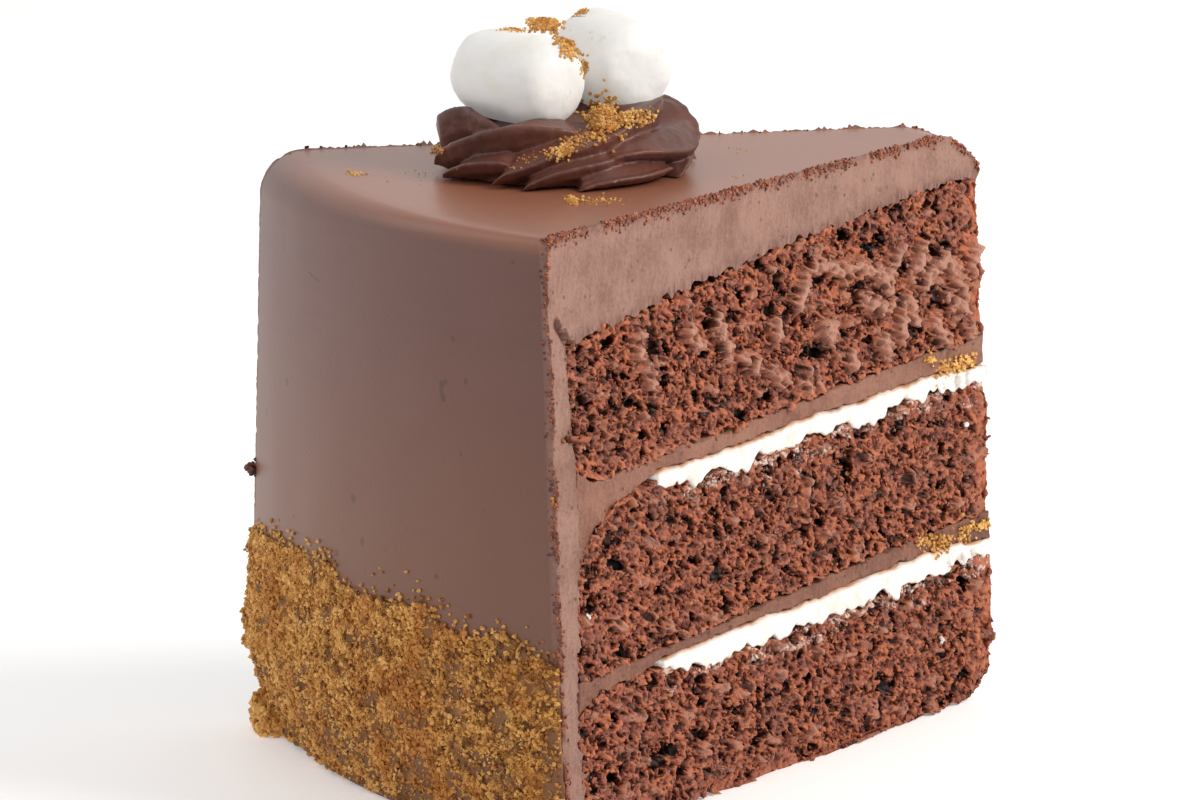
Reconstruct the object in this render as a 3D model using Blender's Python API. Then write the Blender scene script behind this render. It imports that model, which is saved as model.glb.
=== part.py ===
# A slice of three-layer chocolate cake: two fillings of chocolate and marshmallow creme,
# a chocolate frosting coat, a band of graham crumbs round the foot, and a piped rosette
# that carries two marshmallows. Metres, +Z up, the frosted wall faces -Y, the tip +Y.

import math
import random

import bmesh
import bpy
from mathutils import Euler, Matrix, Vector, noise
from mathutils.bvhtree import BVHTree

# The slice
cake_radius = 0.127
cake_height = 0.102
half_angle = math.radians(22.2)
tip_radius = 0.0022
gap = 0.0003

# How the soft slice has leaned and spread towards its foot
foot_lean = 0.0019
foot_slide = 0.0023
foot_spread_across = 0.12
foot_spread_along = 0.035

# Rows of the solids outwards, round the cake and upwards
rows_out = 20
rows_round = 6
rows_up = 5
rim_radius = 0.116

# Sponge outlines: height at the tip and how far it falls towards the rim
low_top_tip = 0.0256
low_top_fall = 0.0036
middle_bottom_tip = 0.0338
middle_bottom_fall = 0.0061
middle_top_tip = 0.0573
middle_top_fall = 0.0034
upper_bottom_tip = 0.0652
upper_bottom_fall = 0.0050
upper_top_tip = 0.0933
upper_top_fall = 0.0108
upper_top_curve = 1.6
dam_start = 0.088
dam_width = 0.010
dam_rise = 0.0027
middle_shoulder_start = 0.098
middle_shoulder_end = 0.1227
middle_shoulder_drop = 0.014
low_shoulder_drop = 0.0035
upper_heel_lift = 0.0025
heel_width = 0.0069
wave_height = 0.00045
wave_length = 0.021

# Creme fillings
creme_rows = 17
creme_low_thickness = 0.0040
creme_high_thickness = 0.0034
creme_edge_thickness = 0.0013
creme_tip_share = 0.55
creme_tip_length = 0.020

# Frosting coat
wall_thickness = 0.0058
wall_swell = 0.0009
wall_swell_length = 0.060
wall_swell_start = 0.038
edge_round_sharp = 0.0016
edge_round_soft = 0.0075
edge_rows = 4
edge_step = 0.0015
wall_rows = 8
foot_tuck_near = 0.0016
foot_tuck_far = 0.0046
foot_tuck_height = 0.018
foot_tuck_middle = 0.007
foot_tuck_curve = 1.3
tip_fall = 0.0092
tip_fall_length = 0.015
stray_crumb_height = 0.0457
stray_crumb_radius = 0.0011

# Relief on what the knife left
sponge_relief = 0.0010
foot_wear = 0.0013
foot_tip_wear = 0.0030
foot_tip_wear_length = 0.012
frosting_relief = 0.0003
relief_size = 0.007

# Graham crumb band
band_bottom = 0.0022
band_top = 0.0345
band_top_slope = 0.0025
band_top_ragged = 0.0016
band_thickness = 0.0012
band_rows_round = 16
band_crumb_columns = 13
band_crumb_rows = 5
band_crumb_large = 0.0014
band_crumb_small = 0.0009
clump_crumbs = 5
clump_radius = 0.0022
clump_angle = math.radians(-20.4)

# Rosette, by its place on the top
rosette_place = Vector((-0.0052, -0.0821))
rosette_radius = 0.0232
rosette_height = 0.0100
rosette_folds = 8
rosette_columns = 7
rosette_rows = 11
rosette_turn = math.radians(120.0)
rosette_fold_depth = 0.19
rosette_fold_lift = 0.0024
rosette_belly = 0.62
rosette_smooth_foot = 0.1
rosette_smooth_top = 0.25
rosette_crest = 0.28
rosette_swing = (math.radians(-30.0), math.radians(82.0))

# Marshmallows: centre above the rosette's foot, diameter, length, yaw, pitch and roll in degrees
marshmallow_left = {
    "place": (-0.0039, -0.0068, 0.0156),
    "size": (0.0157, 0.0230),
    "turn": (0.0, 2.4, 13.6),
}
marshmallow_right = {
    "place": (-0.0052, 0.0126, 0.0163),
    "size": (0.0168, 0.0205),
    "turn": (0.0, 5.0, 0.0),
}
marshmallow_columns = 16
marshmallow_rows = 10
marshmallow_squareness = 0.52

# Loose graham crumbs: the heap on the rosette, and those on each marshmallow
heap_place = Vector((0.0085, 0.0030))
heap_across = Vector((0.515, 0.857))
heap_along = Vector((0.857, -0.515))
heap_size = (0.0075, 0.0050)
heap_crumbs = 16
heap_crumb_radius = (0.0010, 0.0015)
golden_turn = math.radians(137.5)
left_crumbs = ((88.0, 62.0, 0.0023), (70.0, 54.0, 0.0014), (104.0, 70.0, 0.0013), (60.0, 40.0, 0.0012),
               (58.0, 25.0, 0.0012), (150.0, 72.0, 0.0011))
right_crumbs = ((238.0, 62.0, 0.0011), (250.0, 55.0, 0.0009))
creme_crumb_radii = (0.008, 0.011, 0.015)


def tint(name, colour, roughness):
    material = bpy.data.materials.new(name)
    material.use_nodes = True
    shader = material.node_tree.nodes["Principled BSDF"]
    shader.inputs["Base Color"].default_value = (*colour, 1.0)
    shader.inputs["Roughness"].default_value = roughness
    shader.inputs["Metallic"].default_value = 0.0
    material.diffuse_color = (*colour, 1.0)
    return material


def ease(value):
    value = min(max(value, 0.0), 1.0)
    return value * value * (3.0 - 2.0 * value)


def ripple(x, y, z, size, seed):
    return noise.noise(Vector((x / size, y / size, z / size + 17.3 * seed)))


# Upright walls of the cut cake lean and spread as they go down
def settle(point):
    drop = 1.0 - point.z / cake_height
    x = point.x * (1.0 + foot_spread_across * drop) + foot_lean * drop
    y = point.y * (1.0 + foot_spread_along * drop) + foot_slide * drop
    return Vector((x, y, point.z))


def polar(radius, angle, z):
    return Vector((radius * math.sin(angle), -radius * math.cos(angle), z))


# A unit block divided into rows along each axis, every square split on the same diagonal
def divided_block(rows):
    bm = bmesh.new()
    bmesh.ops.create_cube(bm, size=1.0, matrix=Matrix.Translation((0.5, 0.5, 0.5)))
    for axis in range(3):
        if rows[axis] > 1:
            along = [e for e in bm.edges if abs(e.verts[0].co[axis] - e.verts[1].co[axis]) > 0.5]
            bmesh.ops.subdivide_edges(bm, edges=along, cuts=rows[axis] - 1)
    for face in list(bm.faces):
        corners = sorted(face.verts, key=lambda vert: vert.co.x + vert.co.y + vert.co.z)
        bmesh.utils.face_split(face, corners[0], corners[-1])
    return bm


def finish(bm, name, material, smooth_angle=None):
    if bm.calc_volume(signed=True) < 0.0:
        bmesh.ops.reverse_faces(bm, faces=bm.faces)
    mesh = bpy.data.meshes.new(name)
    bm.to_mesh(mesh)
    bm.free()
    mesh.materials.append(material)
    if smooth_angle:
        mesh.shade_smooth()
        mesh.set_sharp_from_angle(angle=math.radians(smooth_angle))
    piece = bpy.data.objects.new(name, mesh)
    bpy.context.collection.objects.link(piece)
    return piece


# Distance from the cake's axis to the outside of the sponges
def core_radius(z):
    swell = wall_swell * math.sin(2.0 * math.pi * (z - wall_swell_start) / wall_swell_length)
    return cake_radius - wall_thickness - swell


def station(row):
    return tip_radius + (rim_radius - tip_radius) * row / rows_out


def wave(radius, angle, seed):
    flat = polar(radius, angle, 0.0)
    return wave_height * ripple(flat.x, flat.y, 0.0, wave_length, seed)


def low_top(radius, angle):
    level = low_top_tip - low_top_fall * radius / rim_radius
    level += dam_rise * ease((radius - dam_start) / dam_width)
    level -= low_shoulder_drop * ease((radius - rim_radius) / heel_width)
    return level + wave(radius, angle, 1)


def middle_bottom(radius, angle):
    return middle_bottom_tip - middle_bottom_fall * radius / rim_radius + wave(radius, angle, 2)


def middle_top(radius, angle):
    level = middle_top_tip - middle_top_fall * radius / rim_radius
    level += dam_rise * ease((radius - dam_start) / dam_width)
    reach = max(radius - middle_shoulder_start, 0.0) / (middle_shoulder_end - middle_shoulder_start)
    level -= middle_shoulder_drop * (1.0 - math.sqrt(max(1.0 - reach * reach, 0.0)))
    return level + wave(radius, angle, 3)


def upper_bottom(radius, angle):
    level = upper_bottom_tip - upper_bottom_fall * radius / rim_radius
    level += upper_heel_lift * ease((radius - rim_radius) / heel_width)
    return level + wave(radius, angle, 4)


def upper_top(radius, angle):
    fall = upper_top_fall * (radius / cake_radius) ** upper_top_curve
    return upper_top_tip - fall + wave(radius, angle, 5)


def creme_thickness(radius, thickness):
    thinning = ease((radius - dam_start) / dam_width)
    towards_tip = creme_tip_share + (1.0 - creme_tip_share) * ease(radius / creme_tip_length)
    return towards_tip * (thickness + (creme_edge_thickness - thickness) * thinning)


def low_creme_top(radius, angle):
    return low_top(radius, angle) + gap + creme_thickness(radius, creme_low_thickness)


def high_creme_top(radius, angle):
    return middle_top(radius, angle) + gap + creme_thickness(radius, creme_high_thickness)


# One layer between two heights, its last row against the frosting wall unless it stops short
def layer(name, material, bottom, top, rows, relief, seed, reaches_wall=True):
    bm = divided_block(rows)
    last = rows[0]
    for vert in bm.verts:
        row = round(vert.co.x * rows[0])
        angle = (2.0 * vert.co.y - 1.0) * half_angle
        radius = station(row)
        at_wall = reaches_wall and row == last
        if at_wall:
            radius = cake_radius - wall_thickness
        low = bottom(row, radius, angle)
        high = top(row, radius, angle)
        z = low + (high - low) * vert.co.z
        if at_wall:
            radius = core_radius(z)
        point = polar(radius, angle, z)
        rough = relief * ripple(point.x, point.y, point.z, relief_size, seed)
        if z < 0.0001:
            rough -= foot_wear
            z += foot_tip_wear * ease(1.0 - radius / foot_tip_wear_length)
            point.z = z
        if row == 0:
            point -= polar(2.0 * rough, angle, 0.0)
        if vert.co.y < 0.01:
            point += rough * Vector((-math.cos(half_angle), math.sin(half_angle), 0.0))
        if vert.co.y > 0.99:
            point += rough * Vector((math.cos(half_angle), math.sin(half_angle), 0.0))
        vert.co = settle(point)
    return finish(bm, name, material)


def make_sponges(material):
    rows = (rows_out + 1, rows_round, rows_up)
    levels = (
        ("sponge_bottom", lambda i, r, a: 0.0, lambda i, r, a: low_top(r, a)),
        ("sponge_middle", lambda i, r, a: middle_bottom(r, a), lambda i, r, a: middle_top(r, a)),
        ("sponge_top", lambda i, r, a: upper_bottom(r, a), lambda i, r, a: upper_top(r, a)),
    )
    for number, (name, bottom, top) in enumerate(levels):
        layer(name, material, bottom, top, rows, sponge_relief, 11 + number)


def make_fillings(chocolate, creme):
    thin = (rows_out + 1, rows_round, 1)
    short = (creme_rows, rows_round, 1)

    def low_floor(row, radius, angle):
        under = low_creme_top if row <= creme_rows else low_top
        return under(radius, angle) + gap

    def high_floor(row, radius, angle):
        under = high_creme_top if row <= creme_rows else middle_top
        return under(radius, angle) + gap

    layer("chocolate_filling_lower", chocolate, low_floor,
          lambda i, r, a: middle_bottom(r, a) - gap, thin, frosting_relief, 14)
    layer("chocolate_filling_upper", chocolate, high_floor,
          lambda i, r, a: upper_bottom(r, a) - gap, thin, frosting_relief, 15)
    layer("marshmallow_creme_lower", creme, lambda i, r, a: low_top(r, a) + gap,
          lambda i, r, a: low_creme_top(r, a), short, frosting_relief, 16, reaches_wall=False)
    layer("marshmallow_creme_upper", creme, lambda i, r, a: middle_top(r, a) + gap,
          lambda i, r, a: high_creme_top(r, a), short, frosting_relief, 17, reaches_wall=False)


# The wall draws in towards the floor, more at the far edge than at the near one
def wall_radius(z, angle):
    side = ease(0.5 - 0.5 * angle / half_angle)
    tuck = foot_tuck_near + (foot_tuck_far - foot_tuck_near) * side
    return cake_radius - tuck * max(1.0 - z / foot_tuck_height, 0.0) ** foot_tuck_curve


def top_height(radius):
    short = max(1.0 - radius / tip_fall_length, 0.0)
    return cake_height - tip_fall * short * short


# Heights down the wall in even rows to the top of the tucked foot, then two rows to the floor
def wall_height(start, row):
    if row >= wall_rows - 1:
        return foot_tuck_middle * (wall_rows - row)
    return start + (foot_tuck_height - start) * row / (wall_rows - 2)


# Outside of the coat, from the tip over the rounded edge and down the wall
def coat_outside(row, angle):
    side = ease(0.5 - 0.5 * angle / half_angle)
    edge = edge_round_sharp + (edge_round_soft - edge_round_sharp) * side
    if row <= rows_out:
        return station(row), top_height(station(row))
    if row <= rows_out + edge_rows:
        turn = 0.5 * math.pi * (row - rows_out) / edge_rows
        radius = cake_radius - edge * (1.0 - math.sin(turn))
        return radius, cake_height - edge * (1.0 - math.cos(turn))
    z = wall_height(cake_height - edge, row - rows_out - edge_rows)
    return wall_radius(z, angle), z


# Inside of the coat: over the top sponge, round its corner and down beside the layers
def coat_inside(row, angle):
    if row <= rows_out:
        return station(row), upper_top(station(row), angle) + gap
    corner = upper_top(cake_radius - wall_thickness, angle) + gap
    if row <= rows_out + edge_rows:
        z = corner - edge_step * (row - rows_out - 1)
    else:
        z = wall_height(corner - edge_step * (edge_rows - 1), row - rows_out - edge_rows)
    return core_radius(z) + gap, z


def make_coat(material):
    rows = (rows_out + edge_rows + wall_rows, rows_round, 2)
    bm = divided_block(rows)
    for vert in bm.verts:
        row = round(vert.co.x * rows[0])
        angle = (2.0 * vert.co.y - 1.0) * half_angle
        inner = Vector(coat_inside(row, angle))
        outer = Vector(coat_outside(row, angle))
        radius, z = inner.lerp(outer, vert.co.z)
        point = polar(radius, angle, z)
        rough = frosting_relief * ripple(point.x, point.y, point.z, relief_size, 18)
        if vert.co.y < 0.01:
            point += rough * Vector((-math.cos(half_angle), math.sin(half_angle), 0.0))
        if vert.co.y > 0.99:
            point += rough * Vector((math.cos(half_angle), math.sin(half_angle), 0.0))
        vert.co = settle(point)
    return finish(bm, "frosting_coat", material, 35.0)


# One crumb: a twenty-sided lump, turned and squeezed at random
def crumb_mesh(place, radius, draw):
    bm = bmesh.new()
    bmesh.ops.create_icosphere(bm, subdivisions=1, radius=radius)
    for vert in bm.verts:
        vert.co *= draw.uniform(0.82, 1.12)
    squeeze = Matrix.Diagonal([draw.uniform(0.8, 1.08) for _ in range(3)] + [1.0])
    turn = Euler([draw.uniform(0.0, 2.0 * math.pi) for _ in range(3)]).to_matrix().to_4x4()
    bm.transform(Matrix.Translation(place) @ turn @ squeeze)
    return bm


def apply_modifier(piece, modifier):
    bpy.ops.object.select_all(action="DESELECT")
    piece.select_set(True)
    bpy.context.view_layer.objects.active = piece
    bpy.ops.object.modifier_apply(modifier=modifier.name)


# Of the shells that a union or a cut leaves, only the piece's own outside stays
def keep_main_shell(piece):
    bm = bmesh.new()
    bm.from_mesh(piece.data)
    bm.faces.ensure_lookup_table()
    shells = []
    left = set(bm.faces)
    while left:
        shell = {left.pop()}
        edge_of_shell = list(shell)
        while edge_of_shell:
            face = edge_of_shell.pop()
            near = {other for edge in face.edges for other in edge.link_faces} & left
            left -= near
            shell |= near
            edge_of_shell.extend(near)
        shells.append(shell)
    shells.sort(key=len)
    strays = [face for shell in shells[:-1] for face in shell]
    bmesh.ops.delete(bm, geom=strays, context="FACES")
    bm.to_mesh(piece.data)
    bm.free()


# Crumbs joined to the piece that they lie on by one union
def fuse_crumbs(piece, places, draw, solver="EXACT"):
    crumbs = bpy.data.collections.new(piece.name + "_crumbs")
    bpy.context.scene.collection.children.link(crumbs)
    for number, (place, radius) in enumerate(places):
        bm = crumb_mesh(place, radius, draw)
        mesh = bpy.data.meshes.new("crumb_%d" % number)
        bm.to_mesh(mesh)
        bm.free()
        crumbs.objects.link(bpy.data.objects.new("crumb_%d" % number, mesh))
    union = piece.modifiers.new("crumbs", "BOOLEAN")
    union.operation = "UNION"
    union.operand_type = "COLLECTION"
    union.collection = crumbs
    union.solver = solver
    apply_modifier(piece, union)
    for crumb in list(crumbs.objects):
        bpy.data.objects.remove(crumb)
    bpy.data.collections.remove(crumbs)
    keep_main_shell(piece)


# Loose sponge crumbs along the upper edge of the knife cut, and one left on the far edge
def scatter_on_coat(coat):
    draw = random.Random(41)
    places = []
    for share in (0.06, 0.13, 0.22, 0.31, 0.38, 0.44, 0.49, 0.56, 0.63, 0.71, 0.79, 0.88, 0.95):
        radius = tip_radius + 0.012 + share * (cake_radius - tip_radius - 0.016)
        angle = half_angle - draw.uniform(0.0002, 0.0010) / radius
        place = settle(polar(radius, angle, cake_height - 0.0001))
        places.append((place, draw.uniform(0.0008, 0.0014)))
    places.append((settle(polar(cake_radius, -half_angle, stray_crumb_height)), stray_crumb_radius))
    fuse_crumbs(coat, places, draw)


def band_height(angle):
    ragged = band_top_ragged * ripple(angle, 0.0, 0.0, 0.09, 20)
    return band_top - band_top_slope * angle / half_angle + 2.0 * ragged


def make_band(material):
    bm = divided_block((4, band_rows_round, 1))
    for vert in bm.verts:
        angle = (2.0 * vert.co.y - 1.0) * half_angle
        top = band_height(angle)
        heights = (top, 0.5 * (top + foot_tuck_height), foot_tuck_height, foot_tuck_middle, band_bottom)
        z = heights[round(4.0 * vert.co.x)]
        vert.co = settle(polar(wall_radius(z, angle) + gap + band_thickness * vert.co.z, angle, z))
    band = finish(bm, "graham_crumb_band", material)
    draw = random.Random(7)
    places = []
    for column in range(band_crumb_columns):
        for row in range(band_crumb_rows):
            across = (column + 0.5 + draw.uniform(-0.33, 0.33)) / band_crumb_columns
            angle = (2.0 * across - 1.0) * (half_angle - 0.014)
            up = (row + 0.55 + 0.5 * (column % 2) + draw.uniform(-0.2, 0.2)) / (band_crumb_rows + 0.6)
            z = band_bottom + 0.001 + up * (band_height(angle) - band_bottom - 0.0005)
            radius = band_crumb_small + (band_crumb_large - band_crumb_small) * draw.random() ** 1.5
            depth = wall_radius(z, angle) + gap + max(band_thickness, radius + 0.0002)
            places.append((settle(polar(depth, angle, z)), radius))
    for number in range(clump_crumbs):
        angle = clump_angle + number * math.radians(1.5)
        z = 0.0055 + 0.0016 * (number % 2)
        depth = wall_radius(z, angle) + gap + clump_radius * 1.15
        places.append((settle(polar(depth, angle, z)), clump_radius))
    fuse_crumbs(band, places, draw)
    return band


# A lip that rises quickly to its crest and then sinks slowly into the next fold
def fold_lip(phase):
    phase -= math.floor(phase)
    if phase < rosette_crest:
        return ease(phase / rosette_crest)
    return ease((1.0 - phase) / (1.0 - rosette_crest))


def make_rosette(material):
    bm = bmesh.new()
    bmesh.ops.create_cone(bm, cap_ends=True, cap_tris=True, segments=rosette_folds * rosette_columns,
                          radius1=1.0, radius2=1.0, depth=1.0, matrix=Matrix.Translation((0.0, 0.0, 0.5)))
    upright = [e for e in bm.edges if abs(e.verts[0].co.z - e.verts[1].co.z) > 0.5]
    bmesh.ops.subdivide_edges(bm, edges=upright, cuts=rosette_rows - 1)
    foot = cake_height + gap
    for vert in bm.verts:
        level = vert.co.z
        column = math.atan2(vert.co.y, vert.co.x)
        around = column + rosette_turn * level
        swing = rosette_swing[0] + (rosette_swing[1] - rosette_swing[0]) * level
        radius = rosette_radius * math.cos(swing) ** rosette_belly
        rise = math.sin(swing) - math.sin(rosette_swing[0])
        z = rosette_height * rise / (1.0 - math.sin(rosette_swing[0]))
        lip = fold_lip(column * rosette_folds / (2.0 * math.pi))
        spread = ease(level / rosette_smooth_foot) * ease((1.0 - level) / rosette_smooth_top)
        radius *= 1.0 - rosette_fold_depth * spread * (1.0 - lip)
        z += rosette_fold_lift * lip * spread
        if vert.co.xy.length < 0.01:
            radius = 0.0
        if level < 0.001:
            z = 0.0
        vert.co = Vector((radius * math.cos(around), radius * math.sin(around), z))
    bmesh.ops.triangulate(bm, faces=bm.faces)
    bm.transform(Matrix.Translation((rosette_place.x, rosette_place.y, foot)))
    return finish(bm, "rosette", material, 40.0)


def marshmallow_body(name, sizes, material, growth=0.0):
    bm = bmesh.new()
    bmesh.ops.create_uvsphere(bm, u_segments=marshmallow_columns, v_segments=marshmallow_rows, radius=1.0)
    diameter, length = sizes["size"]
    for vert in bm.verts:
        across = math.hypot(vert.co.x, vert.co.y)
        around = math.atan2(vert.co.y, vert.co.x)
        wide = across ** marshmallow_squareness
        tall = math.copysign(abs(vert.co.z) ** marshmallow_squareness, vert.co.z)
        radius = (0.5 * diameter + growth) * wide
        z = (0.5 * length + growth) * tall
        vert.co = Vector((radius * math.cos(around), radius * math.sin(around), z))
    lie = Matrix.Rotation(math.radians(90.0), 4, "Y")
    turn = Euler([math.radians(value) for value in sizes["turn"]]).to_matrix().to_4x4()
    x, y, z = sizes["place"]
    place = Vector((rosette_place.x + x, rosette_place.y + y, cake_height + z))
    bm.transform(Matrix.Translation(place) @ turn @ lie)
    return finish(bm, name, material, 60.0)


# Highest point of a piece under a spot
def surface_below(piece, x, y):
    bm = bmesh.new()
    bm.from_mesh(piece.data)
    tree = BVHTree.FromBMesh(bm)
    bm.free()
    return tree.ray_cast(Vector((x, y, 2.0 * cake_height)), Vector((0.0, 0.0, -1.0)))[0]


# A slope of graham crumbs on the rosette, in the nook between the marshmallows
def scatter_on_rosette(rosette):
    draw = random.Random(23)
    places = []
    for number in range(heap_crumbs):
        share = math.sqrt((number + 0.5) / heap_crumbs)
        around = number * golden_turn
        across = heap_size[0] * share * math.cos(around)
        along = heap_size[1] * share * math.sin(around)
        spot = rosette_place + heap_place + across * heap_across + along * heap_along
        radius = draw.uniform(*heap_crumb_radius)
        top = surface_below(rosette, spot.x, spot.y)
        places.append((top + Vector((0.0, 0.0, 0.35 * radius)), radius))
    fuse_crumbs(rosette, places, draw)


# Crumbs on a marshmallow, each by its bearing and steepness from the middle, in degrees, and its radius
def dust_marshmallow(piece, sizes, crumbs, seed):
    x, y, z = sizes["place"]
    middle = Vector((rosette_place.x + x, rosette_place.y + y, cake_height + z))
    bm = bmesh.new()
    bm.from_mesh(piece.data)
    tree = BVHTree.FromBMesh(bm)
    bm.free()
    places = []
    for bearing, steepness, radius in crumbs:
        turn = Euler((0.0, -math.radians(steepness), math.radians(bearing))).to_matrix()
        ray = turn @ Vector((1.0, 0.0, 0.0))
        skin = tree.ray_cast(middle + 0.05 * ray, -ray)[0]
        places.append((skin + 0.3 * radius * ray, radius))
    fuse_crumbs(piece, places, random.Random(seed))


# Graham crumbs that show at the cut, stuck in a filling near the tip
def dust_filling(piece, level, radii, seed):
    draw = random.Random(seed)
    places = []
    for radius in radii:
        z = level(radius, half_angle)
        spot = polar(radius, half_angle, z)
        places.append((settle(spot), draw.uniform(0.0008, 0.0011)))
    fuse_crumbs(piece, places, draw)


def dust_fillings():
    low = bpy.data.objects["marshmallow_creme_lower"]
    high = bpy.data.objects["marshmallow_creme_upper"]
    dust_filling(low, lambda r, a: 0.5 * (low_top(r, a) + low_creme_top(r, a)), creme_crumb_radii, 5)
    dust_filling(high, lambda r, a: 0.5 * (middle_top(r, a) + high_creme_top(r, a)), creme_crumb_radii, 6)


# The rosette gives way under each marshmallow
def press_into(rosette, sizes, material):
    cutter = marshmallow_body("press", sizes, material, growth=gap)
    cutter.hide_render = True
    cutter.display_type = "WIRE"
    cut = rosette.modifiers.new("press", "BOOLEAN")
    cut.operation = "DIFFERENCE"
    cut.object = cutter
    cut.solver = "EXACT"
    apply_modifier(rosette, cut)
    bpy.data.objects.remove(cutter)
    keep_main_shell(rosette)


def centre_on_base(pieces):
    across = [vert.co.x for piece in pieces for vert in piece.data.vertices]
    along = [vert.co.y for piece in pieces for vert in piece.data.vertices]
    offset = Vector((-0.5 * (min(across) + max(across)), -0.5 * (min(along) + max(along)), 0.0))
    for piece in pieces:
        piece.data.transform(Matrix.Translation(offset))
    return offset


def main():
    for old in list(bpy.data.objects):
        bpy.data.objects.remove(old, do_unlink=True)
    sponge = tint("sponge", (0.080, 0.024, 0.014), 0.9)
    frosting = tint("chocolate_frosting", (0.150, 0.075, 0.055), 0.5)
    filling = tint("chocolate_filling", (0.230, 0.100, 0.070), 0.55)
    creme = tint("marshmallow_creme", (0.86, 0.83, 0.78), 0.5)
    crumbs = tint("graham_crumbs", (0.400, 0.200, 0.060), 0.85)
    piped = tint("piped_chocolate", (0.085, 0.036, 0.028), 0.45)
    marshmallow = tint("marshmallow", (0.88, 0.87, 0.84), 0.7)
    make_sponges(sponge)
    make_fillings(filling, creme)
    dust_fillings()
    coat = make_coat(frosting)
    scatter_on_coat(coat)
    make_band(crumbs)
    rosette = make_rosette(piped)
    scatter_on_rosette(rosette)
    press_into(rosette, marshmallow_left, marshmallow)
    press_into(rosette, marshmallow_right, marshmallow)
    left = marshmallow_body("marshmallow_left", marshmallow_left, marshmallow)
    right = marshmallow_body("marshmallow_right", marshmallow_right, marshmallow)
    dust_marshmallow(left, marshmallow_left, left_crumbs, 31)
    dust_marshmallow(right, marshmallow_right, right_crumbs, 32)
    return centre_on_base([piece for piece in bpy.data.objects if piece.type == "MESH"])


slice_offset = main()
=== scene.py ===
# A slice of chocolate cake with marshmallows and graham crumbs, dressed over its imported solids
import math
import random

import bmesh
import bpy
import numpy as np
from mathutils import Matrix, Vector, noise
from mathutils.bvhtree import BVHTree


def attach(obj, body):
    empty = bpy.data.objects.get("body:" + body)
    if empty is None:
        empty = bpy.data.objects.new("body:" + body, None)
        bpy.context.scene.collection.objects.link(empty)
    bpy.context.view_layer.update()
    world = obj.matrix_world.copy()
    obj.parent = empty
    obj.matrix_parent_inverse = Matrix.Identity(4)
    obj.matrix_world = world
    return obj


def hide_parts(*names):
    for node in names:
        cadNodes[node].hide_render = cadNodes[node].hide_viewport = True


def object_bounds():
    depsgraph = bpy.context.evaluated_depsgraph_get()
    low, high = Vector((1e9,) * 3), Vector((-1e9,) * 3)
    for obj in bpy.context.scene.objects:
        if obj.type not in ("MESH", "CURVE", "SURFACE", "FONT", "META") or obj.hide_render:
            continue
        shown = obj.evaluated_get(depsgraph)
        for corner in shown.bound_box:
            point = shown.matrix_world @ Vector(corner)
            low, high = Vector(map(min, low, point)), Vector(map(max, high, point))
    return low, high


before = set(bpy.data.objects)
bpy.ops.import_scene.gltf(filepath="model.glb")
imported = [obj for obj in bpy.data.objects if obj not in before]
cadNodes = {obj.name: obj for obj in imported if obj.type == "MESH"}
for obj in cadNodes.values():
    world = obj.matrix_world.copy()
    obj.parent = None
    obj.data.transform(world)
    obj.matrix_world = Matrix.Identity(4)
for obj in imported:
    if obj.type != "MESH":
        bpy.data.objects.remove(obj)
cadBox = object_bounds()
print("frame loaded:", len(cadNodes), "nodes")

# The cake's own measures, as its solids have them, in metres
cake = {
    "radius": 0.127,
    "height": 0.102,
    "halfAngle": math.radians(22.2),
    "tip": 0.0022,
    "rim": 0.116,
    "coatThick": 0.0058,
    "gap": 0.0003,
    "lean": 0.0019,
    "slide": 0.0023,
    "spreadAcross": 0.12,
    "spreadAlong": 0.035,
    "offset": (-0.0018780, 0.0658972),
}


# How the cut faces, the narrow end and the rows of a solid are found; lengths in metres
finding = {
    "merge": 0.000002,
    "rows": 20,
    "facing": 0.8,
    "leastAngle": 0.2,
    "tipFacing": 0.7,
    "tipDepth": 0.012,
    "skin": 0.0008,
    "reach": 0.0022,
    "sideReach": 0.0016,
    "endReach": 0.0013,
    "rowReach": 0.0004,
    "margin": 0.00002,
}


# From 0 to 1 with soft ends, for one value and for many
def ease(value):
    value = min(max(value, 0.0), 1.0)
    return value * value * (3.0 - 2.0 * value)


def easeAll(values):
    values = np.clip(values, 0.0, 1.0)
    return values * values * (3.0 - 2.0 * values)


def smoothNoise(point, size, seed):
    return noise.noise(Vector((point[0] / size, point[1] / size, point[2] / size)) + Vector((7.7 * seed, 3.1, 0.0)))


# Round the cake: distance from its middle, angle and height, to a place in the leaning slice and back
def fromCake(radius, angle, z):
    drop = 1.0 - z / cake["height"]
    x = radius * math.sin(angle) * (1.0 + cake["spreadAcross"] * drop) + cake["lean"] * drop
    y = -radius * math.cos(angle) * (1.0 + cake["spreadAlong"] * drop) + cake["slide"] * drop
    return Vector((x + cake["offset"][0], y + cake["offset"][1], z))


def toCake(point):
    drop = 1.0 - point[2] / cake["height"]
    x = (point[0] - cake["offset"][0] - cake["lean"] * drop) / (1.0 + cake["spreadAcross"] * drop)
    y = (point[1] - cake["offset"][1] - cake["slide"] * drop) / (1.0 + cake["spreadAlong"] * drop)
    return math.hypot(x, y), math.atan2(x, -y), point[2]


def toCakeAll(points):
    drop = 1.0 - points[:, 2] / cake["height"]
    x = (points[:, 0] - cake["offset"][0] - cake["lean"] * drop) / (1.0 + cake["spreadAcross"] * drop)
    y = (points[:, 1] - cake["offset"][1] - cake["slide"] * drop) / (1.0 + cake["spreadAlong"] * drop)
    return np.hypot(x, y), np.arctan2(x, -y), points[:, 2].copy()


def cutNormal(side):
    return Vector((side * math.cos(cake["halfAngle"]), math.sin(cake["halfAngle"]), 0.0))


def pick(piece):
    bpy.ops.object.select_all(action="DESELECT")
    piece.select_set(True)
    bpy.context.view_layer.objects.active = piece


def applyAll(piece):
    pick(piece)
    for modifier in list(piece.modifiers):
        bpy.ops.object.modifier_apply(modifier=modifier.name)


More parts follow.
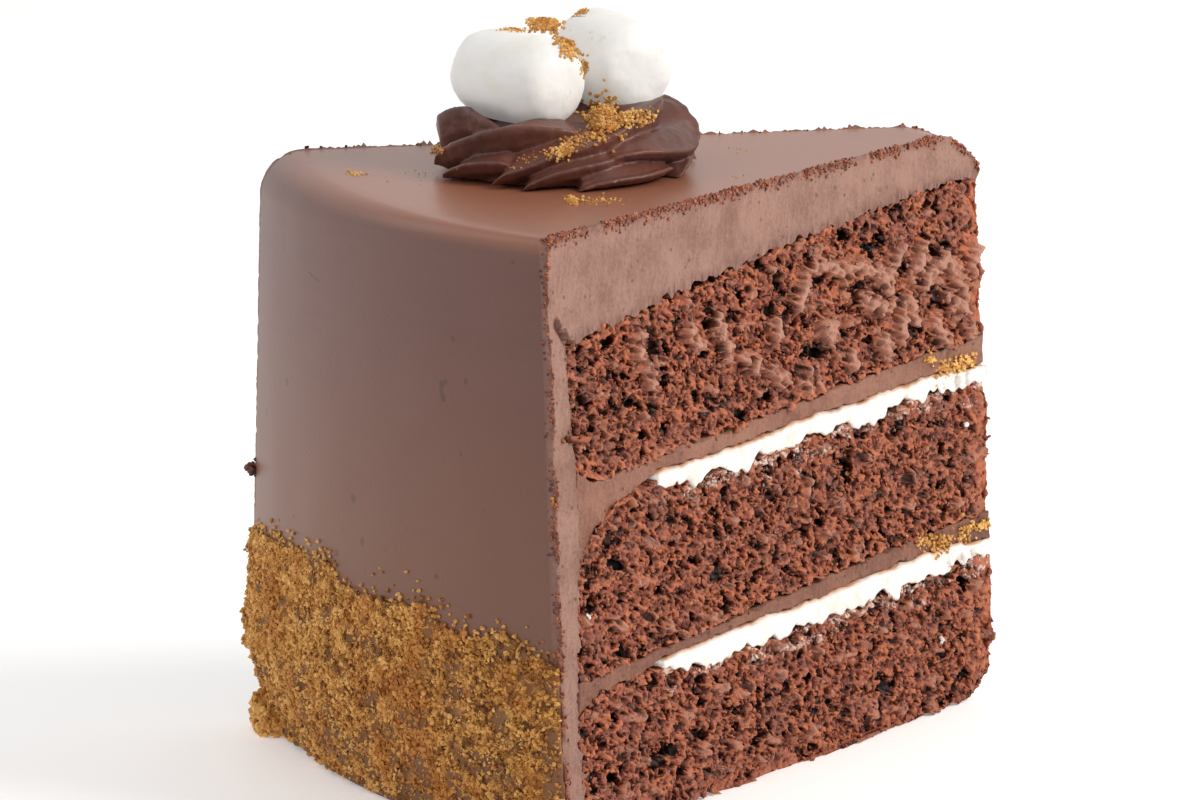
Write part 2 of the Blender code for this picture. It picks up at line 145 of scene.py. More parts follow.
def placeInMesh(piece):
    pick(piece)
    bpy.ops.object.transform_apply(location=True, rotation=True, scale=True)


def readPoints(piece):
    points = np.zeros(len(piece.data.vertices) * 3)
    piece.data.vertices.foreach_get("co", points)
    return points.reshape(-1, 3)


def writePoints(piece, points):
    piece.data.vertices.foreach_set("co", np.asarray(points, float).ravel())
    piece.data.update()


def readNormals(piece):
    normals = np.zeros(len(piece.data.vertices) * 3)
    piece.data.vertices.foreach_get("normal", normals)
    return normals.reshape(-1, 3)


# A fresh attribute, also where scattered grains brought their host's one along
def newAttribute(piece, name, kind):
    old = piece.data.attributes.get(name)
    if old:
        piece.data.attributes.remove(old)
    return piece.data.attributes.new(name, kind, "POINT")


def keepValue(piece, name, values):
    newAttribute(piece, name, "FLOAT").data.foreach_set("value", np.asarray(values, np.float32))


def keepPlace(piece):
    radius, angle, z = toCakeAll(readPoints(piece))
    place = np.stack([radius, np.sign(angle), z], axis=1).astype(np.float32)
    newAttribute(piece, "cutPlace", "FLOAT_VECTOR").data.foreach_set("vector", place.ravel())


# A vertex group from weights, in steps
def groupFrom(piece, name, weights, levels=20):
    group = piece.vertex_groups.new(name=name)
    steps = np.round(np.clip(weights, 0.0, 1.0) * levels).astype(int)
    for step in range(1, levels + 1):
        found = np.nonzero(steps == step)[0]
        if len(found):
            group.add(found.tolist(), step / levels, "REPLACE")


# A copy of a solid with its loose triangles joined
def copySolid(nodeName, name):
    piece = bpy.data.objects.new(name, cadNodes[nodeName].data.copy())
    bpy.context.scene.collection.objects.link(piece)
    piece.data.materials.clear()
    pick(piece)
    bpy.ops.object.mode_set(mode="EDIT")
    bpy.ops.mesh.select_all(action="SELECT")
    bpy.ops.mesh.remove_doubles(threshold=finding["merge"])
    bpy.ops.mesh.select_all(action="DESELECT")
    bpy.ops.object.mode_set(mode="OBJECT")
    piece.name = name
    return piece


# The faces that the knife left, divided finely
def divideCut(piece, cuts):
    pick(piece)
    bpy.ops.object.mode_set(mode="EDIT")
    bpy.ops.mesh.select_mode(type="FACE")
    bpy.ops.mesh.select_all(action="DESELECT")
    mesh = bmesh.from_edit_mesh(piece.data)
    for face in mesh.faces:
        facing = max(face.normal.dot(cutNormal(-1)), face.normal.dot(cutNormal(1)))
        middle = face.calc_center_median()
        onCut = facing > finding["facing"] and abs(toCake(middle)[1]) > finding["leastAngle"]
        atTip = face.normal.y > finding["tipFacing"] and middle.y > cadBox[1][1] - finding["tipDepth"]
        face.select_set(onCut or atTip)
    bmesh.update_edit_mesh(piece.data)
    bpy.ops.mesh.subdivide(number_cuts=cuts)
    bpy.ops.mesh.select_all(action="SELECT")
    bpy.ops.mesh.quads_convert_to_tris()
    bpy.ops.mesh.select_all(action="DESELECT")
    bpy.ops.object.mode_set(mode="OBJECT")


# How much each point lies on a cut, from 0 inside the slice to 1 on the knife's face
def cutShare(points, reach=finding["reach"]):
    radius, angle = toCakeAll(points)[:2]
    inside = radius * np.sin(np.maximum(cake["halfAngle"] - np.abs(angle), 0.0))
    return 1.0 - easeAll((inside - finding["skin"]) / reach)


# Lower and upper edge of a layer along each cut, from the rows of its solid
def edgeLines(piece):
    radius, angle, z = toCakeAll(readPoints(piece))
    step = (cake["rim"] - cake["tip"]) / finding["rows"]
    lastRow = finding["rows"] + 1
    lines = {}
    for side in (-1, 1):
        onSide = radius * (cake["halfAngle"] - side * angle) < finding["sideReach"]
        rows = []
        for row in range(lastRow + 1):
            reach = finding["endReach" if row in (0, lastRow) else "rowReach"]
            near = onSide & (np.abs(radius - cake["tip"] - step * row) < reach)
            if near.any():
                rows.append((radius[near].mean(), z[near].min(), z[near].max()))
        lines[side] = np.array(rows).T
    return lines


# The two edges at a distance from the middle
def edgesAt(lines, side, radius):
    return [np.interp(radius, lines[side][0], lines[side][column]) for column in (1, 2)]


# Points on the cuts wander up and down near the layer's edges and stand a little proud there
def ragEdges(piece, lines, look, seed):
    points = readPoints(piece)
    radius, angle, z = toCakeAll(points)
    onCut = cutShare(points, 0.0012)
    for number in np.nonzero(onCut > 0.4)[0]:
        side = 1 if angle[number] > 0 else -1
        low, high = edgesAt(lines, side, radius[number])
        reach = min(look["ragReach"], 0.5 * (high - low))
        at = Vector((radius[number] / look["ragSize"], 9.0 * side, 5.3 * seed))
        push = 0.0
        for distance, lift, amount in ((high - z[number], 0.0, look["ragTop"]),
                                       (z[number] - low, 31.0, look["ragLow"])):
            near = math.exp(-(max(distance, 0.0) / reach) ** 2)
            wander = noise.noise(at + Vector((0.0, 0.0, lift))) + 0.6 * noise.noise(2.7 * at + Vector((0.0, lift, 0.0)))
            if low < 0.006 and lift > 0.0:
                wander = abs(wander) * look["footRag"] / amount
            points[number][2] += amount * wander * near
            push += look["proud"] * near * (0.4 + max(wander if lift == 0.0 else -wander, 0.0))
        points[number] += push * np.array(cutNormal(side))
    writePoints(piece, points)


# Relief from a texture: form has the width of its lumps and their height, ramp the two ends of a sharper rise
def relief(piece, name, form, middle, depth=1, group="cut", kind="CLOUDS", ramp=None):
    texture = bpy.data.textures.new(name, kind)
    texture.noise_scale = form[0]
    if kind == "CLOUDS":
        texture.noise_depth = depth
        texture.noise_basis = "IMPROVED_PERLIN"
    if ramp:
        texture.use_color_ramp = True
        for stop, position, level in zip(texture.color_ramp.elements, ramp, (0.0, 1.0)):
            stop.position, stop.color = position, (level, level, level, 1.0)
    modifier = piece.modifiers.new(name, "DISPLACE")
    modifier.texture = texture
    modifier.texture_coords = "LOCAL"
    modifier.strength = form[1]
    modifier.mid_level = middle
    modifier.vertex_group = group


# Nothing stands outside the box of the solids
def keepInside(piece):
    low, high = np.array(cadBox[0]) + finding["margin"], np.array(cadBox[1]) - finding["margin"]
    low[2] = cadBox[0][2]
    writePoints(piece, np.clip(readPoints(piece), low, high))


def smooth(piece, angle=None):
    pick(piece)
    if angle is None:
        bpy.ops.object.shade_smooth()
    else:
        bpy.ops.object.shade_smooth_by_angle(angle=math.radians(angle))


# Material, body and the solid that the piece stands for
def finishPiece(piece, material, slot, *nodes):
    piece.data.materials.clear()
    piece.data.materials.append(material)
    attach(piece, "root")
    if nodes:
        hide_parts(*nodes)
    piece.data.calc_loop_triangles()
    print(piece.name, len(piece.data.loop_triangles), "triangles")
    return piece


# Materials, each with its values beside it
def newMaterial(name):
    material = bpy.data.materials.new(name)
    material.use_nodes = True
    return material, material.node_tree, material.node_tree.nodes["Principled BSDF"]


# Sockets are linked to a node's inputs and values are set
def feed(tree, made, inputs):
    for key, value in inputs.items():
        if isinstance(value, bpy.types.NodeSocket):
            tree.links.new(value, made.inputs[key])
        else:
            made.inputs[key].default_value = value
    return made


def node(tree, kind, inputs=None, **settings):
    made = tree.nodes.new(kind)
    for key, value in settings.items():
        setattr(made, key, value)
    return feed(tree, made, inputs or {})


def colourRamp(tree, factor, stops):
    ramp = node(tree, "ShaderNodeValToRGB", {"Fac": factor})
    elements = ramp.color_ramp.elements
    while len(elements) < len(stops):
        elements.new(0.5)
    for element, (position, colour) in zip(elements, stops):
        element.position = position
        element.color = (*colour, 1.0)
    return ramp.outputs["Color"]


def objectPoint(tree, stretch=(1.0, 1.0, 1.0)):
    place = node(tree, "ShaderNodeTexCoord").outputs["Object"]
    return node(tree, "ShaderNodeMapping", {"Vector": place, "Scale": stretch}).outputs["Vector"]


def noiseValue(tree, vector, scale, detail=3.0, roughness=0.55):
    return node(tree, "ShaderNodeTexNoise", {"Vector": vector, "Scale": scale, "Detail": detail,
                                             "Roughness": roughness, "Distortion": 0.0}).outputs["Fac"]


def mixColour(tree, factor, *colours):
    first, second = (colour if isinstance(colour, bpy.types.NodeSocket) else (*colour, 1.0) for colour in colours)
    return node(tree, "ShaderNodeMix", {0: factor, 6: first, 7: second}, data_type="RGBA").outputs[2]


def mathValue(tree, operation, first, second=0.0, third=0.0):
    return node(tree, "ShaderNodeMath", {0: first, 1: second, 2: third}, operation=operation).outputs[0]


def times(tree, first, second):
    return mathValue(tree, "MULTIPLY", first, second)


def timesPlus(tree, first, second, third):
    return mathValue(tree, "MULTIPLY_ADD", first, second, third)


# Where the first mask is off, the second one takes over
def unless(tree, first, second):
    return mathValue(tree, "MAXIMUM", first, mathValue(tree, "SUBTRACT", 1.0, second))


def grey(tree, level):
    return node(tree, "ShaderNodeCombineXYZ", {"X": level, "Y": level, "Z": level}).outputs[0]


def mapRange(tree, value, low, high, newLow=0.0, newHigh=1.0):
    return node(tree, "ShaderNodeMapRange", {"Value": value, "From Min": low, "From Max": high,
                                             "To Min": newLow, "To Max": newHigh}).outputs["Result"]


def bump(tree, height, strength, distance, normal=None):
    inputs = {"Height": height, "Strength": strength, "Distance": distance}
    if normal:
        inputs["Normal"] = normal
    return node(tree, "ShaderNodeBump", inputs).outputs["Normal"]


def attribute(tree, name):
    return node(tree, "ShaderNodeAttribute", attribute_name=name).outputs["Fac"]


# pit, dark, mid and light are picked by the depth attribute: pit and dark are painted shade in the pores and between
# the grains, light is painted light on the crumb tops and the grains' upward faces; smearDark and smearLight are the
# dragged frosting in painted shade and painted light
spongeLook = {
    "pit": (0.006, 0.0013, 0.0009),
    "dark": (0.038, 0.0066, 0.0034),
    "mid": (0.172, 0.0330, 0.0125),
    "light": (0.470, 0.1340, 0.0520),
    "mauve": (0.190, 0.0640, 0.0420),
    "smearDark": (0.200, 0.0740, 0.0470),
    "smearLight": (0.420, 0.1980, 0.1350),
    "milk": (0.700, 0.5600, 0.4900),
    "roughness": 0.50,
    "gloss": 0.45,
}


def makeSpongeMaterial():
    material, tree, shader = newMaterial("sponge_crumb")
    place = objectPoint(tree)
    grain = noiseValue(tree, place, 1500.0, 3.0, 0.65)
    # Colour by the depth attribute: pits and grain sides get painted shade, crumb tops get painted light; the fine
    # noise adds real tone
    depth = attribute(tree, "depth")
    blend = timesPlus(tree, depth, 0.66, times(tree, grain, 0.50))
    body = colourRamp(tree, blend, ((0.34, spongeLook["pit"]), (0.48, spongeLook["dark"]),
                                    (0.66, spongeLook["mid"]), (0.92, spongeLook["light"])))
    patch = mapRange(tree, noiseValue(tree, place, 130.0, 3.0, 0.5), 0.48, 0.66, 0.0, 0.5)
    patch = times(tree, patch, mapRange(tree, depth, 0.35, 0.7))
    colour = mixColour(tree, patch, body, spongeLook["mauve"])
    # The dragged frosting is painted darker in the pits and lighter on its raised parts, as painted shade and light
    smear = mixColour(tree, mapRange(tree, blend, 0.3, 0.9), spongeLook["smearDark"], spongeLook["smearLight"])
    colour = mixColour(tree, times(tree, attribute(tree, "smear"), 0.95), colour, smear)
    fleck = mapRange(tree, noiseValue(tree, place, 900.0, 3.0, 0.7), 0.50, 0.60)
    colour = mixColour(tree, times(tree, attribute(tree, "milk"), fleck), colour, spongeLook["milk"])
    coarse = bump(tree, noiseValue(tree, place, 900.0, 3.0, 0.6), 0.6, 0.0004)
    fine = bump(tree, noiseValue(tree, place, 2600.0, 2.0, 0.6), 0.6, 0.0002, coarse)
    feed(tree, shader, {"Base Color": colour, "Roughness": spongeLook["roughness"],
                        "Specular IOR Level": spongeLook["gloss"], "Normal": fine})
    return material


frostingLook = {
    "wall": (0.150, 0.0620, 0.0480),
    # the darker wall tone takes soft broad zones that are painted uneven reflection
    "wallDark": (0.128, 0.0510, 0.0400),
    # the low wall colour is painted bounce light from the crumbs and floor
    "wallLowBounce": (0.182, 0.0700, 0.0380),
    # the near wall colour is painted shade toward the near edge
    "wallNearShade": (0.088, 0.0330, 0.0220),
    "mark": (0.050, 0.0220, 0.0180),
    # the top colour is painted key light, warmer and lighter on the top
    "topLit": (0.270, 0.1020, 0.0560),
    "cut": (0.320, 0.1700, 0.1270),
    "cutDark": (0.215, 0.1020, 0.0720),
    "soil": (0.120, 0.0460, 0.0300),
    "burr": (0.150, 0.0480, 0.0290),
    "roughness": 0.42,
    "cutRoughness": 0.55,
    "topGloss": -0.07,
    "gloss": 0.45,
}

# The one scratch on the wall: bearing, height, slant and half length
scratch = {"angle": math.radians(-6.25), "z": 0.0865, "slant": 0.16, "half": 0.0021}


# A mask for the scratch
def scratchMask(tree, place):
    middle = fromCake(cake["radius"], scratch["angle"], scratch["z"])
    line = node(tree, "ShaderNodeMapping", {"Vector": place, "Location": middle,
                                            "Rotation": (0.0, scratch["slant"], scratch["angle"])},
                vector_type="TEXTURE").outputs["Vector"]
    line = node(tree, "ShaderNodeSeparateXYZ", {"Vector": line})
    along = mathValue(tree, "ABSOLUTE", line.outputs["X"])
    along = mapRange(tree, along, scratch["half"], 1.3 * scratch["half"], 1.0, 0.0)
    beside = mapRange(tree, mathValue(tree, "ABSOLUTE", line.outputs["Z"]), 0.00008, 0.00030, 0.8, 0.0)
    return times(tree, along, beside)


# The smooth wall and top, warmer low down as painted bounce light and on top as painted key light, darker toward the
# near edge as painted shade, with soft darker zones as painted uneven reflection beside the real smoothing streaks,
# marks and scratch
def wallColour(tree, place, streak):
    soft = noiseValue(tree, place, 26.0, 2.0, 0.5)
    parts = node(tree, "ShaderNodeSeparateXYZ", {"Vector": place}).outputs
    # The wall tone follows the real horizontal smoothing streaks and a soft broad noise whose darker zones are painted
    # uneven reflection
    wall = colourRamp(tree, timesPlus(tree, streak, 0.34, times(tree, soft, 0.66)),
                      ((0.35, frostingLook["wallDark"]), (0.65, frostingLook["wall"])))
    # Lower down the wall is painted warmer, painted bounce light
    level = mapRange(tree, timesPlus(tree, soft, 0.03, parts["Z"]), 0.060, 0.100)
    wall = mixColour(tree, level, frostingLook["wallLowBounce"], wall)
    # Toward the near edge the wall is painted darker, painted shade
    wall = mixColour(tree, mapRange(tree, parts["X"], -0.020, 0.045, 0.0, 0.34), wall, frostingLook["wallNearShade"])
    spot = mapRange(tree, noiseValue(tree, place, 230.0, 1.0), 0.735, 0.765, 0.0, 0.6)
    spot = mathValue(tree, "MAXIMUM", spot, scratchMask(tree, place))
    wall = mixColour(tree, spot, wall, frostingLook["mark"])
    # The top is painted warmer and lighter where the key light falls, painted light
    topLitMask = times(tree, attribute(tree, "top"), mapRange(tree, parts["X"], -0.050, -0.015, 0.45, 1.0))
    return mixColour(tree, topLitMask, wall, frostingLook["topLit"])


# The frosting of the coat, and with cutOnly the fillings, which show a cut everywhere
def makeFrostingMaterial(name, cutOnly=False, light=frostingLook["cut"], dark=frostingLook["cutDark"]):
    material, tree, shader = newMaterial(name)
    place = objectPoint(tree)
    knifePlace = node(tree, "ShaderNodeAttribute", attribute_name="cutPlace").outputs["Vector"]
    for change in ({"Rotation": (0.0, 0.22, 0.0)}, {"Scale": (1.0, 1.0, 0.12)}):
        knifePlace = node(tree, "ShaderNodeMapping", {"Vector": knifePlace, **change}).outputs["Vector"]
    knife = noiseValue(tree, knifePlace, 1400.0, 3.0, 0.6)
    patch = noiseValue(tree, place, 120.0, 4.0, 0.6)
    speck = noiseValue(tree, place, 1300.0, 3.0, 0.7)
    cutFactor = timesPlus(tree, knife, 0.20, timesPlus(tree, patch, 0.50, times(tree, speck, 0.30)))
    colour = colourRamp(tree, cutFactor, ((0.40, dark), (0.56, light)))
    pore = node(tree, "ShaderNodeTexVoronoi", {"Vector": place, "Scale": 520.0, "Randomness": 1.0})
    porous = mapRange(tree, noiseValue(tree, place, 300.0, 1.0), 0.50, 0.56)
    pores = unless(tree, mapRange(tree, pore.outputs["Distance"], 0.10, 0.24), porous)
    # Pores are painted darker inside, painted shade besides their bump
    colour = mixColour(tree, pores, tuple(0.6 * value for value in dark), colour)
    soiled = times(tree, attribute(tree, "soil"), mapRange(tree, knife, 0.40, 0.62))
    colour = mixColour(tree, soiled, colour, frostingLook["soil"])
    height = timesPlus(tree, speck, 0.9, times(tree, knife, 0.9))
    roughness = frostingLook["cutRoughness"]
    if not cutOnly:
        onCut = attribute(tree, "cut")
        streak = noiseValue(tree, objectPoint(tree, (0.08, 0.08, 1.0)), 420.0, 3.0, 0.55)
        colour = mixColour(tree, onCut, wallColour(tree, place, streak), colour)
        height = mixColour(tree, onCut, grey(tree, times(tree, streak, 0.14)), grey(tree, height))
        roughness = mapRange(tree, onCut, 0.0, 1.0, frostingLook["roughness"], frostingLook["cutRoughness"])
        roughness = timesPlus(tree, attribute(tree, "top"), frostingLook["topGloss"], roughness)
    burred = times(tree, attribute(tree, "burr"), mapRange(tree, noiseValue(tree, place, 700.0, 3.0), 0.40, 0.52))
    colour = mixColour(tree, burred, colour, frostingLook["burr"])
    normal = bump(tree, pores, 0.3 if cutOnly else 0.2, 0.0002, bump(tree, height, 0.9, 0.0005))
    feed(tree, shader, {"Base Color": colour, "Roughness": roughness,
                        "Specular IOR Level": frostingLook["gloss"], "Normal": normal})
    return material


# The two fillings: the lower one is darker; light and dark of each
fillingLooks = {
    "chocolate_filling_dark": ((0.230, 0.0900, 0.0520), (0.130, 0.0440, 0.0240)),
    "chocolate_filling_pale": ((0.290, 0.1260, 0.0800), (0.190, 0.0720, 0.0430)),
}

pipedLook = {"dark": (0.086, 0.0310, 0.0230), "light": (0.150, 0.0540, 0.0360), "roughness": 0.40, "gloss": 0.35,
             "through": 0.06, "throughRadius": (0.002, 0.001, 0.0006)}


def makePipedMaterial():
    material, tree, shader = newMaterial("piped_chocolate_cream")
    place = objectPoint(tree)
    soft = noiseValue(tree, place, 90.0, 3.0, 0.5)
    fine = noiseValue(tree, place, 1300.0, 2.0, 0.5)
    colour = colourRamp(tree, timesPlus(tree, fine, 0.2, times(tree, soft, 0.8)),
                        ((0.35, pipedLook["dark"]), (0.65, pipedLook["light"])))
    normal = bump(tree, noiseValue(tree, place, 500.0, 3.0, 0.6), 0.18, 0.0003)
    feed(tree, shader, {"Base Color": colour, "Roughness": pipedLook["roughness"],
                        "Specular IOR Level": pipedLook["gloss"], "Subsurface Weight": pipedLook["through"],
                        "Subsurface Radius": pipedLook["throughRadius"], "Normal": normal})
    return material


cremeLook = {"white": (0.86, 0.84, 0.80), "shade": (0.74, 0.67, 0.60), "stain": (0.48, 0.22, 0.10),
             "roughness": 0.38, "through": 0.3, "throughRadius": (0.0015, 0.0012, 0.0010)}


def makeCremeMaterial():
    material, tree, shader = newMaterial("marshmallow_creme_filling")
    place = objectPoint(tree)
    soft = noiseValue(tree, place, 260.0, 3.0, 0.6)
    white = colourRamp(tree, soft, ((0.35, cremeLook["shade"]), (0.52, cremeLook["white"])))
    colour = mixColour(tree, attribute(tree, "stain"), white, cremeLook["stain"])
    normal = bump(tree, noiseValue(tree, place, 900.0, 3.0, 0.6), 0.3, 0.0003)
    feed(tree, shader, {"Base Color": colour, "Roughness": cremeLook["roughness"],
                        "Subsurface Weight": cremeLook["through"],
                        "Subsurface Radius": cremeLook["throughRadius"], "Normal": normal})
    return material


grahamLook = {
    "dark": (0.150, 0.0520, 0.0110),
    "mid": (0.500, 0.2250, 0.0440),
    "light": (0.800, 0.4700, 0.1500),
    "red": (0.470, 0.1600, 0.0280),
    "hollow": (0.190, 0.0860, 0.0350),
    "roughness": 0.78,
    "gloss": 0.4,
}


# Darker grains have a higher darkness; the bed of the band has dark hollows too, where bare frosting shows. The bed's
# extra darkness is partly the frosting beneath and partly painted shade between the grains
def makeGrahamMaterial(name, darkness=0.0, hollows=False):
    material, tree, shader = newMaterial(name)
    place = objectPoint(tree)
    cell = node(tree, "ShaderNodeTexVoronoi", {"Vector": place, "Scale": 750.0, "Randomness": 1.0})
    tone = node(tree, "ShaderNodeSeparateColor", {"Color": cell.outputs["Color"]})
    grain = noiseValue(tree, place, 1800.0, 3.0, 0.6)
    factor = timesPlus(tree, grain, 0.5, times(tree, tone.outputs[0], 0.5))
    factor = mathValue(tree, "SUBTRACT", factor, darkness)
    # Grains are painted lighter toward the far side and darker toward the near side, painted light and shade like the
    # wall's
    across = node(tree, "ShaderNodeSeparateXYZ", {"Vector": place}).outputs["X"]
    factor = mathValue(tree, "SUBTRACT", factor, mapRange(tree, across, -0.045, 0.045, -0.17, 0.06))
    colour = colourRamp(tree, factor, ((0.22, grahamLook["dark"]), (0.45, grahamLook["mid"]),
                                       (0.78, grahamLook["light"])))
    patch = mapRange(tree, noiseValue(tree, place, 90.0, 3.0), 0.48, 0.66, 0.0, 0.6)
    colour = mixColour(tree, patch, colour, grahamLook["red"])
    if hollows:
        colour = mixColour(tree, attribute(tree, "hollow"), colour, grahamLook["hollow"])
    feed(tree, shader, {"Base Color": colour, "Roughness": grahamLook["roughness"],
                        "Specular IOR Level": grahamLook["gloss"], "Normal": bump(tree, grain, 0.6, 0.0003)})
    return material


# glow and glowShare make the marshmallows glow faintly, painted light that lifts their shaded sides
marshmallowLook = {"white": (0.69, 0.68, 0.665), "cream": (0.66, 0.64, 0.59), "pit": (0.60, 0.54, 0.37),
                   "glow": (1.0, 0.985, 0.96, 1.0), "glowShare": 0.15, "roughness": 0.62,
                   "through": 0.8, "throughRadius": (0.0080, 0.0075, 0.0068)}


def makeMarshmallowMaterial():
    material, tree, shader = newMaterial("soft_marshmallow")
    place = objectPoint(tree)
    soft = noiseValue(tree, place, 130.0, 3.0, 0.55)
    colour = colourRamp(tree, soft, ((0.36, marshmallowLook["cream"]), (0.52, marshmallowLook["white"])))
    pit = mapRange(tree, noiseValue(tree, place, 520.0, 2.0, 0.6), 0.36, 0.42)
    pitted = mapRange(tree, noiseValue(tree, place, 110.0, 1.0), 0.52, 0.60)
    colour = mixColour(tree, unless(tree, pit, pitted), marshmallowLook["pit"], colour)
    normal = bump(tree, noiseValue(tree, place, 420.0, 3.0, 0.5), 0.25, 0.0004)
    # The emission is painted light on the marshmallow
    feed(tree, shader, {"Base Color": colour, "Roughness": marshmallowLook["roughness"],
                        "Emission Color": marshmallowLook["glow"], "Emission Strength": marshmallowLook["glowShare"],
                        "Subsurface Weight": marshmallowLook["through"],
                        "Subsurface Radius": marshmallowLook["throughRadius"], "Normal": normal})
    return material


spongeMaterial = makeSpongeMaterial()
frostingMaterial = makeFrostingMaterial("chocolate_frosting_smooth")
fillingMaterials = [makeFrostingMaterial(name, True, *colours) for name, colours in fillingLooks.items()]
pipedMaterial = makePipedMaterial()
cremeMaterial = makeCremeMaterial()
grahamMaterial = makeGrahamMaterial("graham_grain")
grahamBedMaterial = makeGrahamMaterial("graham_bed", 0.12, True)
goldenMaterial = makeGrahamMaterial("graham_grain_golden", -0.10)
marshmallowMaterial = makeMarshmallowMaterial()
print("materials made")


# Grains, scattered and made real
grainKinds = {"count": 4, "radius": 0.001, "uneven": 0.34, "seed": 60, "smoothAngle": 50, "turn": (6.28, 6.28, 6.28)}


def makeGrain(number):
    bpy.ops.mesh.primitive_ico_sphere_add(subdivisions=1, radius=grainKinds["radius"], location=(0.0, 0.0, 0.0))
    grain = bpy.context.object
    grain.name = "grain_%d" % number
    draw = random.Random(grainKinds["seed"] + number)
    for vert in grain.data.vertices:
        vert.co *= 1.0 + draw.uniform(-grainKinds["uneven"], grainKinds["uneven"])
    smooth(grain, grainKinds["smoothAngle"])
    return grain


# Grains on a host's faces, as thick as the host's "grains" value says, joined in one mesh
def scatter(name, host, density, sizes, lift, seed):
    bpy.ops.mesh.primitive_plane_add(size=0.001, location=(0.0, 0.0, 0.0))
    piece = bpy.context.object
    piece.name = name
    tree = bpy.data.node_groups.new(name + "_scatter", "GeometryNodeTree")
    tree.interface.new_socket("Geometry", in_out="OUTPUT", socket_type="NodeSocketGeometry")
    ground = node(tree, "GeometryNodeObjectInfo", {"Object": host})
    share = node(tree, "GeometryNodeInputNamedAttribute", {"Name": "grains"}, data_type="FLOAT")
    amount = node(tree, "ShaderNodeMath", {0: share.outputs["Attribute"], 1: density}, operation="MULTIPLY")
    spots = node(tree, "GeometryNodeDistributePointsOnFaces", {"Mesh": ground.outputs["Geometry"],
                                                               "Density": amount.outputs[0], "Seed": seed})
    raised = node(tree, "ShaderNodeVectorMath", {0: spots.outputs["Normal"]}, operation="SCALE")
    spread = node(tree, "FunctionNodeRandomValue", {2: lift[0], 3: lift[1], "Seed": seed + 1}, data_type="FLOAT")
    tree.links.new(spread.outputs[1], raised.inputs["Scale"])
    moved = node(tree, "GeometryNodeSetPosition", {"Geometry": spots.outputs["Points"], "Offset": raised.outputs[0]})
    bag = node(tree, "GeometryNodeGeometryToInstance")
    for grain in grains:
        info = node(tree, "GeometryNodeObjectInfo", {"Object": grain})
        tree.links.new(info.outputs["Geometry"], bag.inputs[0])
    turn = node(tree, "FunctionNodeRandomValue", {1: grainKinds["turn"], "Seed": seed + 2}, data_type="FLOAT_VECTOR")
    size = node(tree, "FunctionNodeRandomValue", {0: (sizes[0],) * 3, 1: (sizes[1],) * 3, "Seed": seed + 3},
                data_type="FLOAT_VECTOR")
    laid = node(tree, "GeometryNodeInstanceOnPoints", {"Points": moved.outputs[0], "Instance": bag.outputs[0],
                                                       "Pick Instance": True, "Rotation": turn.outputs[0],
                                                       "Scale": size.outputs[0]})
    real = node(tree, "GeometryNodeRealizeInstances", {"Geometry": laid.outputs[0]})
    node(tree, "NodeGroupOutput", {0: real.outputs[0]})
    piece.modifiers.new("scatter", "NODES").node_group = tree
    applyAll(piece)
    bpy.data.node_groups.remove(tree)
    return piece


grains = [makeGrain(number) for number in range(grainKinds["count"])]


# Grains laid one by one and joined: each spot is a place and a size
def layGrains(name, spots, seed):
    draw = random.Random(seed)
    points, faces = [], []
    for place, size in spots:
        grain = draw.choice(grains).data
        angle = draw.uniform(0.0, grainKinds["turn"][0])
        turn = Matrix.Rotation(angle, 3, Vector([draw.gauss(0, 1) for _ in range(3)]))
        start = len(points)
        points.extend(place + turn @ vert.co * (size / grainKinds["radius"]) for vert in grain.vertices)
        faces.extend([start + corner for corner in face.vertices] for face in grain.polygons)
    mesh = bpy.data.meshes.new(name)
    mesh.from_pydata(points, [], faces)
    piece = bpy.data.objects.new(name, mesh)
    bpy.context.scene.collection.objects.link(piece)
    return piece


# Painted light and shade on each grain: the half facing out of the cut and up is painted paler than the half that sits
# in the crumb; each grain also gets a random tone
def shadeGrains(piece, low, high):
    across = readNormals(piece)
    angle = toCakeAll(readPoints(piece))[1]
    sides = np.where(angle > 0.0, 1.0, -1.0)
    facing = across[:, 0] * sides * math.cos(cake["halfAngle"]) + across[:, 1] * math.sin(cake["halfAngle"])
    corners = len(grains[0].data.vertices)
    tone = np.random.default_rng(len(facing)).uniform(-0.30, 0.16, len(facing) // corners + 1)
    shade = low + (high - low) * easeAll(0.5 + 0.6 * facing + 0.35 * across[:, 2])
    keepValue(piece, "depth", np.clip(shade + tone.repeat(corners)[:len(facing)], 0.0, 1.0))


def finishGrains(piece, material, slot, shades=None):
    if shades:
        shadeGrains(piece, *shades)
    keepInside(piece)
    smooth(piece, grainKinds["smoothAngle"])
    finishPiece(piece, material, slot)


# The three sponges
sponges = {
    "cuts": 19,
    "lump": (0.0050, 0.0014),
    "clump": (0.00150, -0.0013),
    "pore": (0.0030, 0.0026),
    "poreRamp": (0.30, 0.42),
    "smallPore": (0.00095, 0.0015),
    "smallPoreRamp": (0.34, 0.50),
    "grit": (0.00045, 0.00055),
    "ragTop": 0.0012,
    "ragLow": 0.0012,
    "ragSize": 0.0027,
    "ragReach": 0.0017,
    "proud": 0.0005,
    "footRag": 0.0022,
    "crumbDensity": 400000.0,
    "crumbSizes": (0.12, 0.52),
    "lumpDensity": 14000.0,
    "lumpSizes": (0.45, 0.90),
    "calmEdge": 0.0014,
    "smearWidth": 0.0015,
    "smearProud": 0.0017,
}

